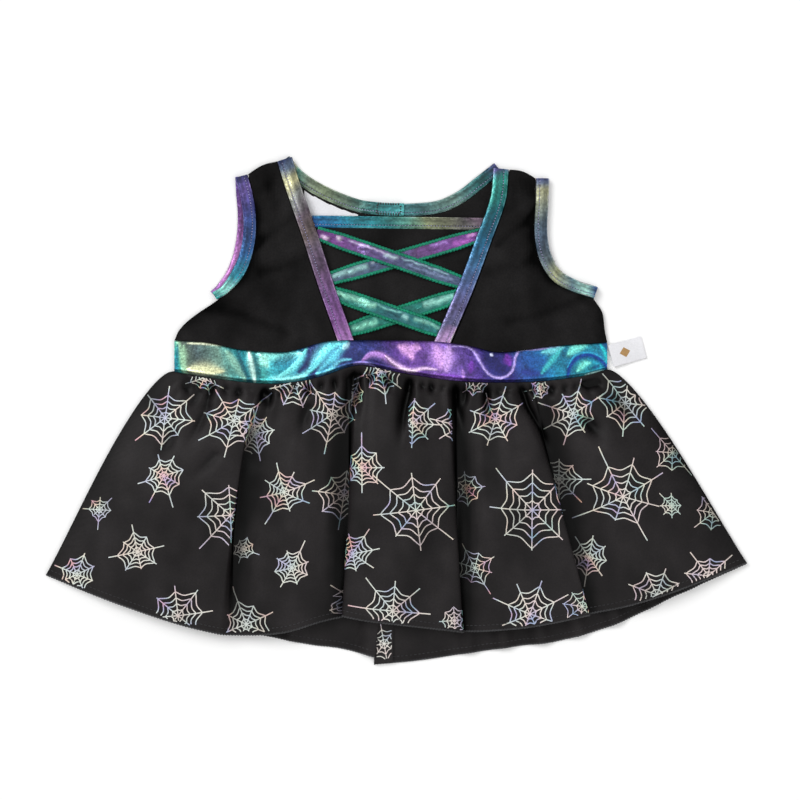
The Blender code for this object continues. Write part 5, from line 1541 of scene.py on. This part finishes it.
def ribbon(surface, line, side, width, low=0.0, high=ANYWHERE):
    """A thin printed line on the cloth, broken where it leaves the panel or its limits.

    It comes as (points, faces, colours) parts.
    """
    parts, run = [], []
    for row, column in line + [(-9.0, -9.0)]:
        if surface.inside(row, column, EDGE_MARGIN) and low <= column / STEPS_PER_LINE <= high:
            run.append((row, column))
            continue
        if len(run) > 1:
            where = np.array(run)
            points, normals = surface.above(where[:, 0], where[:, 1], side * THIN / 2)
            colours = pearl(surface, where[:, 0], where[:, 1], points, normals, side)
            ahead = np.gradient(points, axis=0)
            aside = np.cross(ahead, normals)
            aside *= width / 2 / np.maximum(np.linalg.norm(aside, axis=1, keepdims=True), 1e-9)
            rise = normals * side * WEB_RISE
            corners = np.stack([points - aside - rise / 2, points + aside - rise / 2,
                                points + aside + rise, points - aside + rise], axis=1).reshape(-1, 3)
            faces = [[0, 1, 2, 3]]
            for j in range(len(run) - 1):
                for k in range(4):
                    a, b = 4 * j + k, 4 * j + (k + 1) % 4
                    faces.append([b, a, a + 4, b + 4])
            faces.append([4 * (len(run) - 1) + k for k in (3, 2, 1, 0)])
            parts.append((corners, faces, np.repeat(colours, 4, axis=0)))
        run = []
    return parts


def printed(surface, name, webs, side=1):
    """All the webs on one panel as one piece."""
    parts = []
    for seed, web in enumerate(webs):
        width = WEB_LINE if web.radius > WEB_SMALL else WEB_LINE_SMALL
        for line in web_lines(surface, web, seed + 1, side):
            parts += ribbon(surface, line, side, width, web.low, web.high)
    points, faces = joined([part[:2] for part in parts])
    colours = np.concatenate([part[2] for part in parts])
    extras.setdefault(name, []).append(
        new_object(f"{name}_print", points, faces, PEARL, colour_and_painted_light=colours))


def labels():
    """White side label in the right seam of the waistband, and a white label inside the back neck."""
    side = Path(SIDE_LABEL)
    grid = []
    for k in range(SIDE_LABEL_ROWS + 1):
        a = k / SIDE_LABEL_ROWS - 0.5
        grid.append([])
        for i in range(SIDE_LABEL_COLUMNS + 1):
            share = i / SIDE_LABEL_COLUMNS
            point = side.beside(share, a * SIDE_LABEL_WIDTH)
            lie = mix(CLOTH + SIDE_LABEL_LIFT, BACK_Z, ease(share / SIDE_LABEL_DROP))
            grid[-1].append((point.x, point.y, lie + 0.12 * uneven(point.x, point.y, 5.0, 9)))
    surface = Surface(grid)
    shell("side_label_cloth", surface, 0.8, LABEL, ["side_label"])
    rows = MARK_ROW + MARK_HALF_ROWS * np.array([1, 0, -1, 0])
    columns = MARK_COLUMN + MARK_HALF_COLUMNS * np.array([0, 1, 0, -1])
    points = np.concatenate([surface.above(rows, columns, lift)[0] for lift in (MARK_TOP, MARK_FOOT)])
    faces = [[3, 2, 1, 0], [4, 5, 6, 7]] + [[k, (k + 1) % 4, (k + 1) % 4 + 4, k + 4] for k in range(4)]
    extras["side_label"] = [new_object("side_label_mark", points, faces, THREAD_TAN)]
    collar = Path(NECK_LEFT)

    def under_collar(x):
        shares = [k / COLLAR_READINGS for k in range(COLLAR_READINGS + 1)]
        nearest = min(shares, key=lambda share: abs(collar.at(share).x - x))
        return collar.beside(nearest, NECK_WIDTH / 2 + 3 * SEAM)

    def top(s):
        x = mix(NECK_LABEL_LEFT, NECK_LABEL_RIGHT, s)
        return Vector((x, under_collar(x + NECK_LABEL_LEAN).y))

    def side_edge(x):
        return lambda t: Vector((x, mix(NECK_LABEL_BOTTOM, top(0 if x == NECK_LABEL_LEFT else 1).y, t)))

    grid = patch(lambda s: Vector((mix(NECK_LABEL_LEFT, NECK_LABEL_RIGHT, s), NECK_LABEL_BOTTOM)), top,
                 side_edge(NECK_LABEL_LEFT), side_edge(NECK_LABEL_RIGHT), lambda s, t: FRONT_EDGE_Z,
                 *NECK_LABEL_GRID)
    surface = Surface(creased(grid, [], 0.12, 6.0, 12))
    shell("neck_label_cloth", surface, THIN, LABEL, ["neck_label"])


# How each cloth is held, the width and length (mm) and area (square mm) of the cut that shows, and what
# it lies on
Cut = namedtuple("Cut", "name held width length area rests_on")
CUTS = [
    Cut("bodice_back_left", "laid", 77, 101, 4970, ["bodice_back_right"]),
    Cut("bodice_back_right", "laid", 74, 101, 5070, []),
    Cut("bodice_front_left", "laid", 72, 85, 2590, ["bodice_back_left"]),
    Cut("bodice_front_right", "laid", 69, 82, 2510, ["bodice_back_right"]),
    Cut("front_insert", "laid", 91, 53, 3840, ["bodice_back_left", "bodice_back_right"]),
    Cut("insert_top_band", "folded", 10.8, 74.6, 410, ["bodice_back_left", "bodice_back_right"]),
    Cut("neckline_binding_left", "folded", 13.6, 82, 573, ["bodice_back_left"]),
    Cut("neckline_binding_right", "folded", 13.6, 82, 551, ["bodice_back_right"]),
    Cut("neck_binding_back_left", "folded", 11.2, 57, 315, []),
    Cut("neck_binding_back_right", "folded", 11.2, 57, 309, []),
    Cut("armhole_binding_front_left", "folded", 11.2, 56, 310, ["armhole_binding_back_left"]),
    Cut("armhole_binding_front_right", "folded", 11.2, 63, 348, ["armhole_binding_back_right"]),
    Cut("armhole_binding_back_left", "folded", 11.2, 56, 314, []),
    Cut("armhole_binding_back_right", "folded", 11.2, 63, 353, []),
    Cut("lace_lower_under", "laid", 12, 51, 303, ["front_insert"]),
    Cut("lace_lower_over", "laid", 12, 52, 307, ["lace_lower_under"]),
    Cut("lace_upper_under", "laid", 12, 66, 403, ["front_insert"]),
    Cut("lace_upper_over", "laid", 12, 66, 396, ["lace_upper_under"]),
    Cut("waistband_front", "laid", 191, 16, 2650, ["waistband_back_left", "waistband_back_right"]),
    Cut("waistband_back_left", "laid", 101, 11.5, 1150, ["waistband_back_right"]),
    Cut("waistband_back_right", "laid", 101, 11.5, 1147, []),
    Cut("skirt_front", "gathered", 345, 112, 31500, ["skirt_back_left", "skirt_back_right"]),
    Cut("skirt_back_left", "gathered", 180, 118, 15300, ["skirt_back_right"]),
    Cut("skirt_back_right", "gathered", 180, 118, 16700, []),
    Cut("back_facing_right", "folded", 16, 129, 1026, ["skirt_back_right"]),
    Cut("side_label", "laid", 15.1, 19.6, 148, []),
    Cut("neck_label", "laid", 23.6, 22, 337, ["bodice_back_left"]),
]


def declare():
    """Builds, for each cloth, the options of what it lies on and what is sewn to it, and hands them to
    nothing.
    """
    for cut in CUTS:
        options = {"rests_on": cut.rests_on} if cut.rests_on else {}
        if extras.get(cut.name):
            options["with_pieces"] = extras[cut.name]


# The sky is dim near the horizon and bright overhead, like a large softbox; height share and brightness
SKY = ((0.5, 0.06), (0.97, 1.0))
SKY_STRENGTH = 1.43
# Soft suns: where each comes from, how wide it is in degrees and how strong
SUNS = [("key", (-0.75, 0.6, 1.0), 30.0, 1.3), ("fill", (0.7, -0.3, 1.0), 50.0, 0.25)]


# The floor's half size and depth in metres and its colour, and the camera's place and lens
FLOOR_REACH, FLOOR_DEPTH = 9.0, 0.0001
FLOOR_COLOUR = (0.99, 0.99, 0.988, 1.0)
CAMERA_PLACE = (0.00154, 0.00463, 0.978)
LENS, SENSOR = 100.0, 36.0


def lighting():
    """Plain pale floor, soft studio light and the camera straight above."""
    floor_mesh = bpy.data.meshes.new("floor")
    corners = [(x * FLOOR_REACH, y * FLOOR_REACH, -FLOOR_DEPTH) for x, y in ((-1, -1), (1, -1),
    (1, 1), (-1, 1))]
    floor_mesh.from_pydata(corners, [], [(0, 1, 2, 3)])
    made_floor, _, shader = principled("floor_paper", 0.9, specular=0.1)
    shader.inputs["Base Color"].default_value = FLOOR_COLOUR
    floor_mesh.materials.append(made_floor)
    floor = bpy.data.objects.new("floor", floor_mesh)
    bpy.context.scene.collection.objects.link(floor)

    world = bpy.data.worlds.new("studio")
    bpy.context.scene.world = world
    world.use_nodes = True
    tree = world.node_tree
    place = tree.nodes.new("ShaderNodeTexCoord")
    split = tree.nodes.new("ShaderNodeSeparateXYZ")
    tree.links.new(place.outputs["Generated"], split.inputs["Vector"])
    sky = tree.nodes.new("ShaderNodeValToRGB")
    for element, (position, value) in zip(sky.color_ramp.elements, SKY):
        element.position = position
        element.color = (value, value, value, 1.0)
    tree.links.new(split.outputs["Z"], sky.inputs["Fac"])
    tree.links.new(sky.outputs["Color"], tree.nodes["Background"].inputs["Color"])
    tree.nodes["Background"].inputs["Strength"].default_value = SKY_STRENGTH

    for name, came_from, angle, strength in SUNS:
        light = bpy.data.lights.new(name, "SUN")
        light.angle = math.radians(angle)
        light.energy = strength
        lamp = bpy.data.objects.new(name, light)
        lamp.rotation_euler = Vector(came_from).to_track_quat("Z", "Y").to_euler()
        bpy.context.scene.collection.objects.link(lamp)

    lens = bpy.data.cameras.new("camera")
    lens.lens = LENS
    lens.sensor_width = SENSOR
    camera = bpy.data.objects.new("camera", lens)
    camera.location = CAMERA_PLACE
    bpy.context.scene.collection.objects.link(camera)
    bpy.context.scene.camera = camera
    bpy.context.scene.view_settings.view_transform = "Standard"


back_bodice("left", SIDE_LEFT, ARMHOLE_LEFT, NECK_LEFT, 1, OVERLAP_LEFT_WAIST)
back_bodice("right", SIDE_RIGHT, ARMHOLE_RIGHT, NECK_RIGHT, -1, OVERLAP_RIGHT_WAIST)
back_waistband("waistband_back_left", WAIST_LEFT, OVERLAP_LEFT_WAIST, OVERLAP_Z - BACK_Z)
back_waistband("waistband_back_right", OVERLAP_RIGHT_WAIST, WAIST_RIGHT, 0.0)
back_left = back_skirt("skirt_back_left", WAIST_LEFT, HEM_LEFT, OVERLAP_LEFT_WAIST, OVERLAP_LEFT_HEM,
                       BACK_HEM_LEFT, OVERLAP_Z + LACE_STEP - BACK_Z, 15)
back_right = back_skirt("skirt_back_right", WAIST_RIGHT, HEM_RIGHT, OVERLAP_RIGHT_WAIST, OVERLAP_RIGHT_HEM,
                        BACK_HEM_RIGHT, 0.0, 16)
facing = back_facing()
front_insert()
laces()
front_side_panel("left", SIDE_LEFT, ARMHOLE_LEFT, NECKLINE_LEFT, 1)
front_side_panel("right", SIDE_RIGHT, ARMHOLE_RIGHT, NECKLINE_RIGHT, -1)
bindings()
front_waistband()
front = front_skirt()
printed(front, "skirt_front", FRONT_WEBS)
printed(back_left, "skirt_back_left", [Web(*web[:3]) for web in FRONT_WEBS if web.x < 0], -1)
printed(back_right, "skirt_back_right", [Web(*web[:3]) for web in FRONT_WEBS if web.x > 0], -1)
printed(facing, "back_facing_right", [Web(-7.0, -104.0, 7.0), Web(-6.0, -60.0, 9.0)])
labels()
declare()
lighting()
